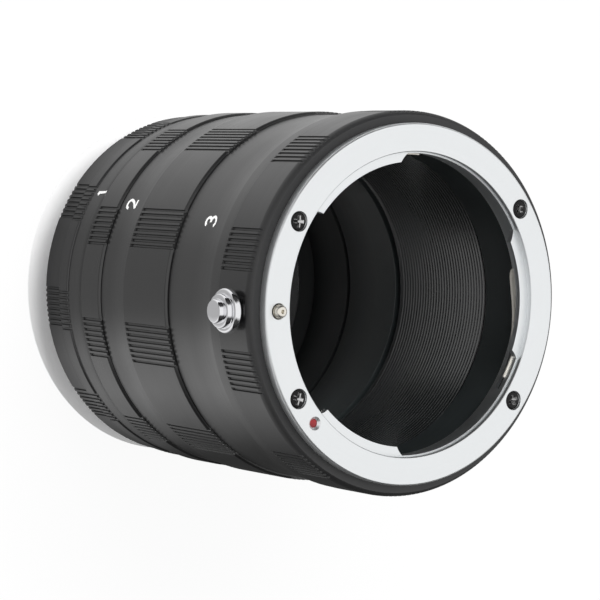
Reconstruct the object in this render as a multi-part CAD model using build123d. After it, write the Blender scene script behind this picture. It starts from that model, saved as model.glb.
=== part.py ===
from build123d import *
import math
import os

os.makedirs("parts", exist_ok=True)

# Heights along the optical axis, from the camera end of the bayonet up
BAYONET_H = 4.6
CAMERA_PLATE_T = 1.2
CAMERA_RING_H = 4.7
LOCK_RING_H = 2.8
TUBE_1_H = 10.5
TUBE_2_H = 20.0
TUBE_3_H = 14.5
LENS_RING_H = 8.4
LENS_PLATE_T = 1.6

# Clear bore and the threads, which are modelled as plain cylinders
BORE_R = 25.0
THREAD_WALL = 2.3
THREAD_CLEARANCE = 0.05
THREAD_LEAD_IN = 0.3
THREAD_1_L = 5.5
THREAD_2_L = 5.5
THREAD_3_L = 11.15
LENS_THREAD_L = 3.0
SOCKET_1_SPACE = 0.2
SOCKET_2_SPACE = 0.8
SOCKET_3_SPACE = 1.3
LENS_SOCKET_SPACE = 0.1

# Outside of the rings and tubes: one wall, with small steps from it
BARREL_WALL = 1.85
CAMERA_RING_STEP = -0.2
LOCK_RING_STEP = 0.1
TUBE_1_STEP = -0.1
TUBE_1_BAND_RISE = 0.5
TUBE_1_WAIST_H = 2.0
TUBE_1_BAND_H = 5.5
TUBE_2_BAND_RISE = 0.55
TUBE_2_WAIST_H = 2.5
TUBE_2_BAND_H = 12.3
TUBE_3_BAND_RISE = 0.6
TUBE_3_WAIST_H = 6.5
TUBE_3_BAND_H = 2.0
LENS_RING_RISE = 0.65
RING_EDGE = 0.25
TUBE_REAR_EDGE = 0.15
TUBE_FRONT_EDGE = 0.35
JOINT_LINE_EDGE = 0.08
LENS_RING_SHOULDER_W = 0.65
LENS_RING_SHOULDER_H = 1.2
LENS_RING_SHOULDER_BULGE = 0.2

# Grip patches of straight grooves, spaced evenly around each ring
PATCH_COUNT = 10
PATCH_GROOVES = 8
GROOVE_STEP_DEG = 1.69
GROOVE_W = 0.46
GROOVE_DEPTH = 0.3
CAMERA_RING_PATCH_DEG = 151.0
LOCK_RING_PATCH_DEG = 152.0
TUBE_PATCH_DEG = 159.6
LENS_RING_PATCH_DEG = 164.3

# Light-trapping ridges in the bore of the third tube
RIDGE_PITCH = 0.7
RIDGE_DEPTH = 0.3

# Lens ring inside the lens mount plate's skirt
LENS_RING_BORE_R = 24.15
LENS_RING_BORE_CONE_H = 1.2

# Female lens mount
LENS_PLATE_R = 27.95
LENS_PLATE_EDGE = 0.25
MOUNT_BORE_R = 23.55
MOUNT_BORE_EDGE = 0.12
LEDGE_R = 23.3
TAB_R = 22.0
TAB_TOP = 0.95
TAB_T = 1.0
TAB_END_HOLLOW = 0.3
SKIRT_IN_R = 23.5
SKIRT_CLEARANCE = 0.05
SKIRT_DEPTH = 4.1
TAB_OUTER_DEG = [(-22.2, 31.2), (93.0, 143.7), (224.3, 268.9)]
TAB_INNER_DEG = [(-19.3, 26.6), (97.2, 141.7), (226.0, 265.5)]
WINDOW_H = 1.25
WINDOW_BEFORE_DEG = 15.7
WINDOW_UNDER_DEG = 2.5

# Leaf springs under the three tabs
LEAF_T = 0.25
LEAF_IN_R = 22.35
LEAF_W = 1.0
LEAF_TAIL_DEG = 10.7
LEAF_FLAT_DEG = 2.5
LEAF_PEAK_DEG = 27.0
LEAF_END_DEG = 33.9
LEAF_SAG = 1.43
LEAF_RISE = [(0.1, 0.14), (0.28, 0.35), (0.48, 0.56), (0.69, 0.79), (0.86, 0.95), (1.0, 1.0)]
LEAF_FALL = [(0.42, 0.98), (0.67, 0.86), (0.84, 0.66), (0.94, 0.38), (1.0, 0.08)]

# Male camera bayonet
CAMERA_PLATE_R = 27.9
CAMERA_PLATE_EDGE = 0.2
THROAT_R = 20.0
MOUNT_CLEARANCE = 0.2
LUG_CLEARANCE = 0.1
LUG_MARGIN_DEG = 3.0
LOCK_TURN_DEG = 60.0
LUG_GAP = 0.1
LUG_T = 1.3
SPIGOT_WALL = 2.0
SPIGOT_H = 1.6

# Cross-head countersunk screws
SCREW_PITCH_R = 25.6
SCREW_HEAD_R = 1.45
SCREW_RIM_H = 0.15
SCREW_SHANK_R = 0.8
SCREW_SINK = 0.1
SCREW_HEAD_CLEARANCE = 0.05
SCREW_HOLE_CLEARANCE = 0.02
SCREW_END_SPACE = 0.1
CROSS_L = 1.7
CROSS_W = 0.4
CROSS_DEPTH = 0.5
LENS_SCREW_L = 4.0
CAMERA_SCREW_L = 2.6
LENS_SCREW_DEG = [36.3, 150.9, 213.2, 323.6]
CAMERA_SCREW_DEG = [45.0, 135.0, 225.0, 315.0]

# Lens lock: a sprung pin and its radial release knob
RELEASE_DEG = 182.1
PIN_R = 0.95
PIN_PROUD = 1.05
PIN_EDGE = 0.15
PIN_CLEARANCE = 0.05
PIN_PLATE_HOLE_R = 1.175
PIN_TAIL = 1.9
RELEASE_TRAVEL = 1.3
KNOB_DROP = 5.7
STEM_R = 0.8
STEM_CLEARANCE = 0.05
KNOB_GAP = 0.1
COLLAR_R = 2.42
COLLAR_H = 0.5
DISC_R = 3.38
DISC_H = 1.3
DISC_ROUND = 0.45
TIER_R = 2.6
TIER_H = 0.85
CAP_R = 1.8
CAP_H = 0.9
CAP_EDGE = 0.2
KNOB_SOCKET_L = 1.6
SPRING_L = 3.7
SPRING_WIRE_R = 0.12
SPRING_TURNS = 7
SPRING_CLEARANCE = 0.1
SOCKET_PIN_CLEARANCE = 0.1
SOCKET_PIN_DEPTH = 1.3

# Index dot in a shallow hole
DOT_PITCH_R = 25.5
DOT_DEG = 224.2
DOT_R = 0.95
DOT_HOLE_DEPTH = 0.9
DOT_T = 0.35

# How far a cutter runs past what it cuts
OVERCUT = 1.0

# Numerals, let into the barrel
NUMERAL_H = 3.2
NUMERAL_W = 2.0
NUMERAL_STROKE = 0.48
NUMERAL_DEPTH = 0.12
NUMERAL_1_UP = 2.8
NUMERAL_2_UP = 3.2
NUMERAL_3_UP = 7.6
NUMERAL_1_DEG = 147.7
NUMERAL_2_DEG = 151.6
NUMERAL_3_DEG = 156.1

# Seat levels and fits that follow from the sizes above
CAMERA_RING_Z = BAYONET_H + CAMERA_PLATE_T
LOCK_RING_Z = CAMERA_RING_Z + CAMERA_RING_H
TUBE_1_Z = LOCK_RING_Z + LOCK_RING_H
TUBE_2_Z = TUBE_1_Z + TUBE_1_H
TUBE_3_Z = TUBE_2_Z + TUBE_2_H
LENS_RING_Z = TUBE_3_Z + TUBE_3_H
LENS_SEAT_Z = LENS_RING_Z + LENS_RING_H
FRONT_Z = LENS_SEAT_Z + LENS_PLATE_T
THREAD_R = BORE_R + THREAD_WALL
SOCKET_R = THREAD_R + THREAD_CLEARANCE
WAIST_R = SOCKET_R + BARREL_WALL
CAMERA_RING_R = WAIST_R + CAMERA_RING_STEP
LOCK_RING_R = WAIST_R + LOCK_RING_STEP
TUBE_1_WAIST_R = WAIST_R + TUBE_1_STEP
TUBE_1_BAND_R = TUBE_1_WAIST_R + TUBE_1_BAND_RISE
TUBE_2_BAND_R = WAIST_R + TUBE_2_BAND_RISE
TUBE_3_BAND_R = WAIST_R + TUBE_3_BAND_RISE
LENS_RING_R = WAIST_R + LENS_RING_RISE
LENS_RING_FACE_R = LENS_RING_R - LENS_RING_SHOULDER_W
CAMERA_FLOOR_Z = TUBE_1_Z - THREAD_1_L - SOCKET_1_SPACE
SKIRT_OUT_R = LENS_RING_BORE_R - SKIRT_CLEARANCE
TAB_BOTTOM_Z = FRONT_Z - TAB_TOP - TAB_T
NECK_R = TAB_R - MOUNT_CLEARANCE
LUG_R = LEDGE_R - LUG_CLEARANCE
LUG_TOP_Z = BAYONET_H - TAB_TOP - TAB_T - LUG_GAP
KNOB_Z = FRONT_Z - KNOB_DROP
PIN_TOP_Z = FRONT_Z + PIN_PROUD
PIN_BOTTOM_Z = KNOB_Z - PIN_TAIL
PIN_BORE_R = PIN_R + PIN_CLEARANCE
SPRING_FOOT_Z = PIN_BOTTOM_Z - SPRING_L
GROOVE_PATCH_STEP = 360.0 / PATCH_COUNT
PATCH_HALF_DEG = GROOVE_STEP_DEG * (PATCH_GROOVES - 1) / 2


def polar(radius, degrees):
    """Point in the plane at a radius and an angle"""
    turn = math.radians(degrees)
    return (radius * math.cos(turn), radius * math.sin(turn))


def turned(points):
    """Solid of revolution from an outline of (radius, height) points"""
    outline = Polyline([(r, 0, z) for r, z in points], close=True)
    return revolve(make_face(outline), Axis.Z)


def ring(r_in, r_out, z0, z1):
    """Plain ring between two radii and two heights"""
    return turned([(r_in, z0), (r_out, z0), (r_out, z1), (r_in, z1)])


def rod(radius, z0, z1):
    """Plain round bar on the axis"""
    return turned([(0, z0), (radius, z0), (radius, z1), (0, z1)])


def sector(points, start, end):
    """Part of a solid of revolution between two angles"""
    outline = Polyline([(r, 0, z) for r, z in points], close=True)
    part = revolve(make_face(outline), Axis.Z, revolution_arc=end - start)
    return Rot(0, 0, start) * part


def ring_sector(r_in, r_out, z0, z1, start, end):
    """Slice of a plain ring between two angles"""
    return sector([(r_in, z0), (r_out, z0), (r_out, z1), (r_in, z1)], start, end)


def at_pitch(shape, radius, degrees, z=0.0):
    """Place a shape built on the axis at a pitch radius and an angle"""
    x, y = polar(radius, degrees)
    return Pos(x, y, z) * Rot(0, 0, degrees) * shape


def single(shape):
    """The one solid of a finished piece"""
    return shape.solids()[0]


def patch_angles(first):
    """Centre angles of the grip patches"""
    return [first + k * GROOVE_PATCH_STEP for k in range(PATCH_COUNT)]


def grip_grooves(band_r, z0, z1, first):
    """Cutters for all straight grooves of one ring"""
    height = z1 - z0
    cutters = []
    for centre in patch_angles(first):
        for k in range(PATCH_GROOVES):
            angle = centre - PATCH_HALF_DEG + k * GROOVE_STEP_DEG
            slot = Pos(band_r, 0, z0 + height / 2) * Box(2 * GROOVE_DEPTH, GROOVE_W, height)
            cutters.append(Rot(0, 0, angle) * slot)
    return cutters


def edge_between_patches(points, first):
    """Cutters for an edge break that stops short of each grip patch"""
    cutters = []
    for centre in patch_angles(first):
        start = centre + PATCH_HALF_DEG
        end = centre + GROOVE_PATCH_STEP - PATCH_HALF_DEG
        cutters.append(sector(points, start, end))
    return cutters


def ridge_points(z_top, z_bottom):
    """Outline points of the ridged bore, from the top down"""
    count = int((z_top - z_bottom) / RIDGE_PITCH)
    points = []
    for k in range(count):
        crest = z_top - k * RIDGE_PITCH
        points.append((BORE_R, crest))
        points.append((BORE_R + RIDGE_DEPTH, crest - RIDGE_PITCH / 2))
    return points


def flare_edge(z0, height, waist_r, band_r, waist_h, band_h):
    """Concave arc from a tube's waist up to its band"""
    z_waist = z0 + waist_h
    z_band = z0 + height - band_h
    rise = band_r - waist_r
    run = z_band - z_waist
    flare_r = (run * run + rise * rise) / (2 * rise)
    half = run / 2
    middle_r = waist_r + flare_r - math.sqrt(flare_r ** 2 - half ** 2)
    return ThreePointArc((waist_r, 0, z_waist), (middle_r, 0, z_waist + half), (band_r, 0, z_band))


def extension_tube(z0, height, waist_r, band_r, waist_h, band_h, thread_l, socket_l, ridged):
    """One screw-in tube: thread below, waist, flare, band and socket"""
    z_thread = z0 - thread_l
    z_top = z0 + height
    z_socket = z_top - socket_l
    below = [
        (BORE_R, z_thread),
        (THREAD_R - THREAD_LEAD_IN, z_thread),
        (THREAD_R, z_thread + THREAD_LEAD_IN),
        (THREAD_R, z0),
        (waist_r - TUBE_REAR_EDGE, z0),
        (waist_r, z0 + TUBE_REAR_EDGE),
        (waist_r, z0 + waist_h),
    ]
    above = [(band_r, z_top - band_h), (band_r, z_top), (SOCKET_R, z_top), (SOCKET_R, z_socket)]
    above += ridge_points(z_socket, z_thread) if ridged else [(BORE_R, z_socket)]
    above += [(BORE_R, z_thread)]
    edges = [
        Polyline([(r, 0, z) for r, z in below]),
        flare_edge(z0, height, waist_r, band_r, waist_h, band_h),
        Polyline([(r, 0, z) for r, z in above]),
    ]
    return revolve(make_face(edges), Axis.Z)


def core_below(depth, z0, height, waist_r, band_r, waist_h, band_h):
    """Solid that stops a set depth below a tube's outer surface"""
    waist = waist_r - depth
    band = band_r - depth
    z_top = z0 + height
    edges = [
        Polyline([(0, 0, z0), (waist, 0, z0), (waist, 0, z0 + waist_h)]),
        flare_edge(z0, height, waist, band, waist_h, band_h),
        Polyline([(band, 0, z_top - band_h), (band, 0, z_top), (0, 0, z_top), (0, 0, z0)]),
    ]
    return revolve(make_face(edges), Axis.Z)


def finished_tube(tube, z0, height, band_r, band_h):
    """Tube with its front edge broken and its grip patches cut"""
    z_top = z0 + height
    drop = TUBE_FRONT_EDGE
    edge = [
        (band_r - drop, z_top),
        (band_r, z_top - drop),
        (band_r + OVERCUT, z_top - drop),
        (band_r + OVERCUT, z_top + OVERCUT),
        (band_r - drop, z_top + OVERCUT),
    ]
    cutters = edge_between_patches(edge, TUBE_PATCH_DEG)
    cutters += grip_grooves(band_r, z_top - band_h, z_top + OVERCUT, TUBE_PATCH_DEG)
    return tube - cutters


def glyph_lines(number):
    """Centre lines of a numeral, in a box of NUMERAL_W by NUMERAL_H less the stroke"""
    h = (NUMERAL_H - NUMERAL_STROKE) / 2
    w = (NUMERAL_W - NUMERAL_STROKE) / 2
    if number == 1:
        flag = Line((-0.6 * w, 0.62 * h), (0, h))
        foot = Line((-0.3 * w, -h), (0.3 * w, -h))
        return [flag, Line((0, h), (0, -h)), foot]
    if number == 2:
        r = w
        top = ThreePointArc((-r, h - r), (0, h), (r, h - r))
        bend = ThreePointArc((r, h - r), (0.72 * r, h - 1.75 * r), (0.1 * r, h - 2.55 * r))
        return [top, bend, Line((0.1 * r, h - 2.55 * r), (-w, -h)), Line((-w, -h), (w, -h))]
    upper = 0.47 * h
    lower = h - upper
    up = ThreePointArc((-0.85 * w, h - 0.55 * upper), (0.25 * w, h), (0.9 * w, h - upper))
    up_in = ThreePointArc((0.9 * w, h - upper), (0.6 * w, h - 1.7 * upper), (-0.15 * w, h - 2 * upper))
    low = ThreePointArc((-0.15 * w, h - 2 * upper), (w, -h + lower), (0.55 * w, -h + 0.3 * lower))
    low_in = ThreePointArc((0.55 * w, -h + 0.3 * lower), (-0.1 * w, -h), (-w, -h + 0.55 * lower))
    return [up, up_in, low, low_in]


def numeral_prism(number, z, degrees, surface_r):
    """Radial prism of a numeral whose top points to the camera end"""
    base = polar(surface_r - NUMERAL_DEPTH - OVERCUT, degrees)
    out = polar(1, degrees)
    face_plane = Plane(
        origin=(base[0], base[1], z),
        x_dir=(out[1], -out[0], 0),
        z_dir=(out[0], out[1], 0),
    )
    strokes = [trace(line, NUMERAL_STROKE) for line in glyph_lines(number)]
    glyph = strokes[0]
    for stroke in strokes[1:]:
        glyph += stroke
    return extrude(face_plane * glyph, amount=NUMERAL_DEPTH + 3 * OVERCUT)


def lettered(tube, number, up, degrees, outside):
    """Tube with its numeral let in, and the inlay itself"""
    z0, waist_r = outside[0], outside[2]
    prism = numeral_prism(number, z0 + up, degrees, waist_r)
    cutter = prism - core_below(NUMERAL_DEPTH, *outside)
    return tube - cutter, tube & cutter


def screw(length):
    """Countersunk cross-head screw, head face at zero, pointing down"""
    cone_h = SCREW_HEAD_R - SCREW_SHANK_R
    body = turned([
        (0, 0),
        (SCREW_HEAD_R, 0),
        (SCREW_HEAD_R, -SCREW_RIM_H),
        (SCREW_SHANK_R, -SCREW_RIM_H - cone_h),
        (SCREW_SHANK_R, -length),
        (0, -length),
    ])
    bar = Box(CROSS_L, CROSS_W, 2 * CROSS_DEPTH)
    return body - [bar, Rot(0, 0, 90) * bar]


def screw_hole(length):
    """Cutter for a screw: sink, head cone and shank"""
    head_r = SCREW_HEAD_R + SCREW_HEAD_CLEARANCE
    shank_r = SCREW_SHANK_R + SCREW_HOLE_CLEARANCE
    rim_z = -SCREW_RIM_H - SCREW_HEAD_CLEARANCE
    end = -length - SCREW_END_SPACE
    return turned([
        (0, 2 * SCREW_SINK),
        (head_r, 2 * SCREW_SINK),
        (head_r, rim_z),
        (shank_r, rim_z - (head_r - shank_r)),
        (shank_r, end),
        (0, end),
    ])


def lens_screw_set(shape):
    """One copy of a shape at each lens plate screw"""
    z = FRONT_Z - SCREW_SINK
    return [at_pitch(shape, SCREW_PITCH_R, a, z) for a in LENS_SCREW_DEG]


def camera_screw_set(shape):
    """One copy of a shape at each camera plate screw, seen from below"""
    z = BAYONET_H + SCREW_SINK
    return [at_pitch(Rot(180, 0, 0) * shape, SCREW_PITCH_R, a, z) for a in CAMERA_SCREW_DEG]


def make_camera_mount_plate():
    """Male bayonet: flange, neck, spigot and three lugs"""
    spigot_r = THROAT_R + SPIGOT_WALL
    edge = CAMERA_PLATE_EDGE
    body = turned([
        (THROAT_R, 0),
        (NECK_R - edge, 0),
        (NECK_R, edge),
        (NECK_R, BAYONET_H),
        (CAMERA_PLATE_R - edge, BAYONET_H),
        (CAMERA_PLATE_R, BAYONET_H + edge),
        (CAMERA_PLATE_R, CAMERA_RING_Z),
        (spigot_r, CAMERA_RING_Z),
        (spigot_r, CAMERA_RING_Z + SPIGOT_H),
        (THROAT_R, CAMERA_RING_Z + SPIGOT_H),
    ])
    for k in range(len(TAB_OUTER_DEG)):
        nxt = (k + 1) % len(TAB_OUTER_DEG)
        start = TAB_OUTER_DEG[k][1] + LUG_MARGIN_DEG + LOCK_TURN_DEG
        width = (TAB_OUTER_DEG[nxt][0] - TAB_OUTER_DEG[k][1]) % 360 - 2 * LUG_MARGIN_DEG
        body += ring_sector(NECK_R - SPIGOT_WALL / 2, LUG_R, LUG_TOP_Z - LUG_T, LUG_TOP_Z, start, start + width)
    cutters = camera_screw_set(screw_hole(CAMERA_SCREW_L))
    cutters.append(socket_for_pin())
    return body - cutters


def socket_for_pin():
    """Cutter in the camera side for the camera's own lock pin"""
    hole = rod(PIN_R + SOCKET_PIN_CLEARANCE, 0, SOCKET_PIN_DEPTH)
    return at_pitch(hole, SCREW_PITCH_R, RELEASE_DEG, BAYONET_H)


def make_camera_ring():
    """Grooved ring that carries the male bayonet"""
    top = LOCK_RING_Z
    hole_r = THROAT_R + SPIGOT_WALL + THREAD_CLEARANCE
    r = CAMERA_RING_R
    e = RING_EDGE
    body = turned([
        (hole_r, CAMERA_RING_Z),
        (r - e, CAMERA_RING_Z),
        (r, CAMERA_RING_Z + e),
        (r, top - e),
        (r - e, top),
        (SOCKET_R, top),
        (SOCKET_R, CAMERA_FLOOR_Z),
        (hole_r, CAMERA_FLOOR_Z),
    ])
    cutters = grip_grooves(r, CAMERA_RING_Z - e, top + e, CAMERA_RING_PATCH_DEG)
    cutters += camera_screw_set(screw_hole(CAMERA_SCREW_L))
    cutters.append(socket_for_pin())
    return body - cutters


def make_lock_ring():
    """Narrow grooved ring threaded on the first tube"""
    r = LOCK_RING_R
    e = RING_EDGE
    body = turned([
        (SOCKET_R, LOCK_RING_Z),
        (r - e, LOCK_RING_Z),
        (r, LOCK_RING_Z + e),
        (r, TUBE_1_Z - e),
        (r - e, TUBE_1_Z),
        (SOCKET_R, TUBE_1_Z),
    ])
    return body - grip_grooves(r, LOCK_RING_Z - e, TUBE_1_Z + e, LOCK_RING_PATCH_DEG)


def make_tube_1():
    """First tube, with its numeral"""
    outside = (TUBE_1_Z, TUBE_1_H, TUBE_1_WAIST_R, TUBE_1_BAND_R, TUBE_1_WAIST_H, TUBE_1_BAND_H)
    body = extension_tube(*outside, THREAD_1_L, THREAD_2_L + SOCKET_2_SPACE, False)
    body = finished_tube(body, TUBE_1_Z, TUBE_1_H, TUBE_1_BAND_R, TUBE_1_BAND_H)
    return lettered(body, 1, NUMERAL_1_UP, NUMERAL_1_DEG, outside)


def make_tube_2():
    """Second and longest tube, with its numeral"""
    outside = (TUBE_2_Z, TUBE_2_H, WAIST_R, TUBE_2_BAND_R, TUBE_2_WAIST_H, TUBE_2_BAND_H)
    body = extension_tube(*outside, THREAD_2_L, THREAD_3_L + SOCKET_3_SPACE, False)
    body = finished_tube(body, TUBE_2_Z, TUBE_2_H, TUBE_2_BAND_R, TUBE_2_BAND_H)
    return lettered(body, 2, NUMERAL_2_UP, NUMERAL_2_DEG, outside)


def make_tube_3():
    """Third tube, ridged inside and smooth outside, with its numeral"""
    outside = (TUBE_3_Z, TUBE_3_H, WAIST_R, TUBE_3_BAND_R, TUBE_3_WAIST_H, TUBE_3_BAND_H)
    body = extension_tube(*outside, THREAD_3_L, LENS_THREAD_L + LENS_SOCKET_SPACE, True)
    return lettered(body, 3, NUMERAL_3_UP, NUMERAL_3_DEG, outside)


def shoulder_edge(top):
    """Convex arc from the lens ring's side round to its face"""
    w, h = LENS_RING_SHOULDER_W, LENS_RING_SHOULDER_H
    lift = LENS_RING_SHOULDER_BULGE / math.hypot(w, h)
    low = (LENS_RING_R, 0, top - h)
    middle = (LENS_RING_R - w / 2 + lift * h, 0, top - h / 2 + lift * w)
    return ThreePointArc(low, middle, (LENS_RING_FACE_R, 0, top))


def make_lens_ring():
    """Grooved front ring that carries the lens mount and the lock pin"""
    z0 = LENS_RING_Z
    z_thread = z0 - LENS_THREAD_L
    top = LENS_SEAT_Z
    r = LENS_RING_R
    below = [
        (BORE_R, z_thread),
        (THREAD_R - THREAD_LEAD_IN, z_thread),
        (THREAD_R, z_thread + THREAD_LEAD_IN),
        (THREAD_R, z0),
        (r - JOINT_LINE_EDGE, z0),
        (r, z0 + JOINT_LINE_EDGE),
        (r, top - LENS_RING_SHOULDER_H),
    ]
    above = [
        (LENS_RING_FACE_R, top),
        (LENS_RING_BORE_R, top),
        (LENS_RING_BORE_R, z_thread + LENS_RING_BORE_CONE_H),
        (BORE_R, z_thread),
    ]
    edges = [
        Polyline([(x, 0, z) for x, z in below]),
        shoulder_edge(top),
        Polyline([(x, 0, z) for x, z in above]),
    ]
    body = revolve(make_face(edges), Axis.Z)
    cutters = grip_grooves(r, z0 + JOINT_LINE_EDGE, top, LENS_RING_PATCH_DEG)
    cutters += lens_screw_set(screw_hole(LENS_SCREW_L))
    pin_bore = rod(PIN_BORE_R, SPRING_FOOT_Z, top + OVERCUT)
    cutters.append(at_pitch(pin_bore, SCREW_PITCH_R, RELEASE_DEG))
    cutters.append(stem_slot())
    return body - cutters


def stem_slot():
    """Radial slot for the knob's stem, as long as the travel"""
    r = STEM_R + STEM_CLEARANCE
    mid = KNOB_Z - RELEASE_TRAVEL / 2
    outline = SlotCenterToCenter(RELEASE_TRAVEL, 2 * r)
    slot = extrude(outline, amount=LENS_RING_R + OVERCUT - SCREW_PITCH_R)
    return Rot(0, 0, RELEASE_DEG) * Pos(SCREW_PITCH_R, 0, mid) * Rot(0, 90, 0) * slot


def tab_solid(k):
    """One bayonet tab with hollow ends"""
    root_r = MOUNT_BORE_R
    out0, out1 = TAB_OUTER_DEG[k]
    in0, in1 = TAB_INNER_DEG[k]
    mid_r = (root_r + TAB_R) / 2
    hollow_deg = math.degrees(TAB_END_HOLLOW / mid_r)
    hollow0 = polar(mid_r, (out0 + in0) / 2 + hollow_deg)
    hollow1 = polar(mid_r, (out1 + in1) / 2 - hollow_deg)
    outer_mid = polar(root_r, (out0 + out1) / 2)
    inner_mid = polar(TAB_R, (in0 + in1) / 2)
    edges = [
        ThreePointArc(polar(root_r, out0), hollow0, polar(TAB_R, in0)),
        ThreePointArc(polar(TAB_R, in0), inner_mid, polar(TAB_R, in1)),
        ThreePointArc(polar(TAB_R, in1), hollow1, polar(root_r, out1)),
        ThreePointArc(polar(root_r, out1), outer_mid, polar(root_r, out0)),
    ]
    return Pos(0, 0, TAB_BOTTOM_Z) * extrude(make_face(edges), amount=TAB_T)


def make_lens_mount_plate():
    """Female bayonet: face, ledge, three tabs and a windowed skirt"""
    top = FRONT_Z
    tab_top = top - TAB_TOP
    body = turned([
        (MOUNT_BORE_R, tab_top),
        (MOUNT_BORE_R, top - MOUNT_BORE_EDGE),
        (MOUNT_BORE_R + MOUNT_BORE_EDGE, top),
        (LENS_PLATE_R - LENS_PLATE_EDGE, top),
        (LENS_PLATE_R, top - LENS_PLATE_EDGE),
        (LENS_PLATE_R, LENS_SEAT_Z),
        (SKIRT_OUT_R, LENS_SEAT_Z),
        (SKIRT_OUT_R, top - SKIRT_DEPTH),
        (SKIRT_IN_R, top - SKIRT_DEPTH),
        (SKIRT_IN_R, TAB_BOTTOM_Z),
        (LEDGE_R, TAB_BOTTOM_Z),
        (LEDGE_R, tab_top),
    ])
    for k in range(len(TAB_INNER_DEG)):
        body += tab_solid(k)
    cutters = lens_screw_set(screw_hole(LENS_SCREW_L))
    for start, _ in TAB_INNER_DEG:
        window = ring_sector(
            SKIRT_IN_R - OVERCUT, SKIRT_OUT_R + OVERCUT, TAB_BOTTOM_Z - WINDOW_H, TAB_BOTTOM_Z,
            start - WINDOW_BEFORE_DEG, start + WINDOW_UNDER_DEG,
        )
        cutters.append(window)
    pin_hole = rod(PIN_PLATE_HOLE_R, LENS_SEAT_Z - OVERCUT, top + OVERCUT)
    cutters.append(at_pitch(pin_hole, SCREW_PITCH_R, RELEASE_DEG))
    dot_hole = rod(DOT_R, top - DOT_HOLE_DEPTH, top + OVERCUT)
    cutters.append(at_pitch(dot_hole, DOT_PITCH_R, DOT_DEG))
    return body - cutters


def make_leaf_spring(k):
    """Leaf under a tab: thin tail, short flat, then a bow"""
    start = TAB_INNER_DEG[k][0]
    top = TAB_BOTTOM_Z
    low = top - LEAF_T
    out_r = LEAF_IN_R + LEAF_W
    flat = ring_sector(LEAF_IN_R, out_r, low, top, start, start + LEAF_FLAT_DEG)
    tail = ring_sector(
        out_r - LEAF_T, out_r, low, top,
        start - LEAF_TAIL_DEG, start + WINDOW_UNDER_DEG / 2,
    )
    middle = start + (LEAF_FLAT_DEG + LEAF_END_DEG) / 2
    rise = LEAF_PEAK_DEG - LEAF_FLAT_DEG
    fall = LEAF_END_DEG - LEAF_PEAK_DEG
    shape = [(LEAF_FLAT_DEG / 2, 0), (LEAF_FLAT_DEG, 0)]
    shape += [(LEAF_FLAT_DEG + t * rise, drop * LEAF_SAG) for t, drop in LEAF_RISE]
    shape += [(LEAF_PEAK_DEG + t * fall, drop * LEAF_SAG) for t, drop in LEAF_FALL]
    mid_r = LEAF_IN_R + LEAF_W / 2
    upper = []
    for degrees, sag in shape:
        along = mid_r * math.sin(math.radians(start + degrees - middle))
        upper.append((along, top - sag))
    lower = [(s, z - LEAF_T) for s, z in upper]
    out = polar(1, middle)
    side = Plane(origin=(0, 0, 0), x_dir=(-out[1], out[0], 0), z_dir=(out[0], out[1], 0))
    outline = Polyline(upper + lower[::-1], close=True)
    bow = extrude(side * make_face(outline), amount=out_r + OVERCUT)
    bow = bow & ring(LEAF_IN_R, out_r, top - LEAF_SAG - 2 * LEAF_T, top)
    return flat + tail + bow


def make_lock_pin():
    """Pin that stands proud of the lens plate and takes the knob's stem"""
    body = turned([
        (0, PIN_BOTTOM_Z),
        (PIN_R, PIN_BOTTOM_Z),
        (PIN_R, PIN_TOP_Z - PIN_EDGE),
        (PIN_R - PIN_EDGE, PIN_TOP_Z),
        (0, PIN_TOP_Z),
    ])
    placed = at_pitch(body, SCREW_PITCH_R, RELEASE_DEG)
    return placed - along_release(rod(STEM_R, SCREW_PITCH_R, SCREW_PITCH_R + 2 * PIN_R))


def along_release(shape):
    """Turn a shape on the axis so that it points out along the knob"""
    return Rot(0, 0, RELEASE_DEG) * Pos(0, 0, KNOB_Z) * Rot(0, 90, 0) * shape


def make_knob_stem():
    """Stud from the pin out into the knob"""
    foot = LENS_RING_R + KNOB_GAP
    stud = rod(STEM_R, SCREW_PITCH_R, foot + KNOB_SOCKET_L)
    return along_release(stud)


def make_release_knob():
    """Stepped round knob with a rounded disc"""
    foot = LENS_RING_R + KNOB_GAP
    disc = foot + COLLAR_H
    tier = disc + DISC_H
    cap = tier + TIER_H
    end = cap + CAP_H
    e = CAP_EDGE
    q = DISC_ROUND * (1 - math.sqrt(0.5))
    outline = [
        (STEM_R, foot),
        (COLLAR_R, foot),
        (COLLAR_R, disc),
        (DISC_R - DISC_ROUND, disc),
        (DISC_R - q, disc + q),
        (DISC_R, disc + DISC_ROUND),
        (DISC_R, tier - DISC_ROUND),
        (DISC_R - q, tier - q),
        (DISC_R - DISC_ROUND, tier),
        (TIER_R, tier),
        (TIER_R, cap - e),
        (TIER_R - e, cap),
        (CAP_R, cap),
        (CAP_R, end - e),
        (CAP_R - e, end),
        (0, end),
        (0, foot + KNOB_SOCKET_L),
        (STEM_R, foot + KNOB_SOCKET_L),
    ]
    return along_release(turned(outline))


def make_pin_spring():
    """Coil spring under the lock pin"""
    coil_r = PIN_BORE_R - SPRING_CLEARANCE - SPRING_WIRE_R
    height = SPRING_L - 2 * SPRING_WIRE_R
    path = Helix(height / SPRING_TURNS, height, coil_r)
    section = Plane(origin=path @ 0, z_dir=path % 0) * Circle(SPRING_WIRE_R)
    coil = sweep(section, path=path)
    return at_pitch(coil, SCREW_PITCH_R, RELEASE_DEG, SPRING_FOOT_Z + SPRING_WIRE_R)


def make_index_dot():
    """Disc of colour at the bottom of the index hole"""
    floor = FRONT_Z - DOT_HOLE_DEPTH
    return at_pitch(rod(DOT_R, floor, floor + DOT_T), DOT_PITCH_R, DOT_DEG)


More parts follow.
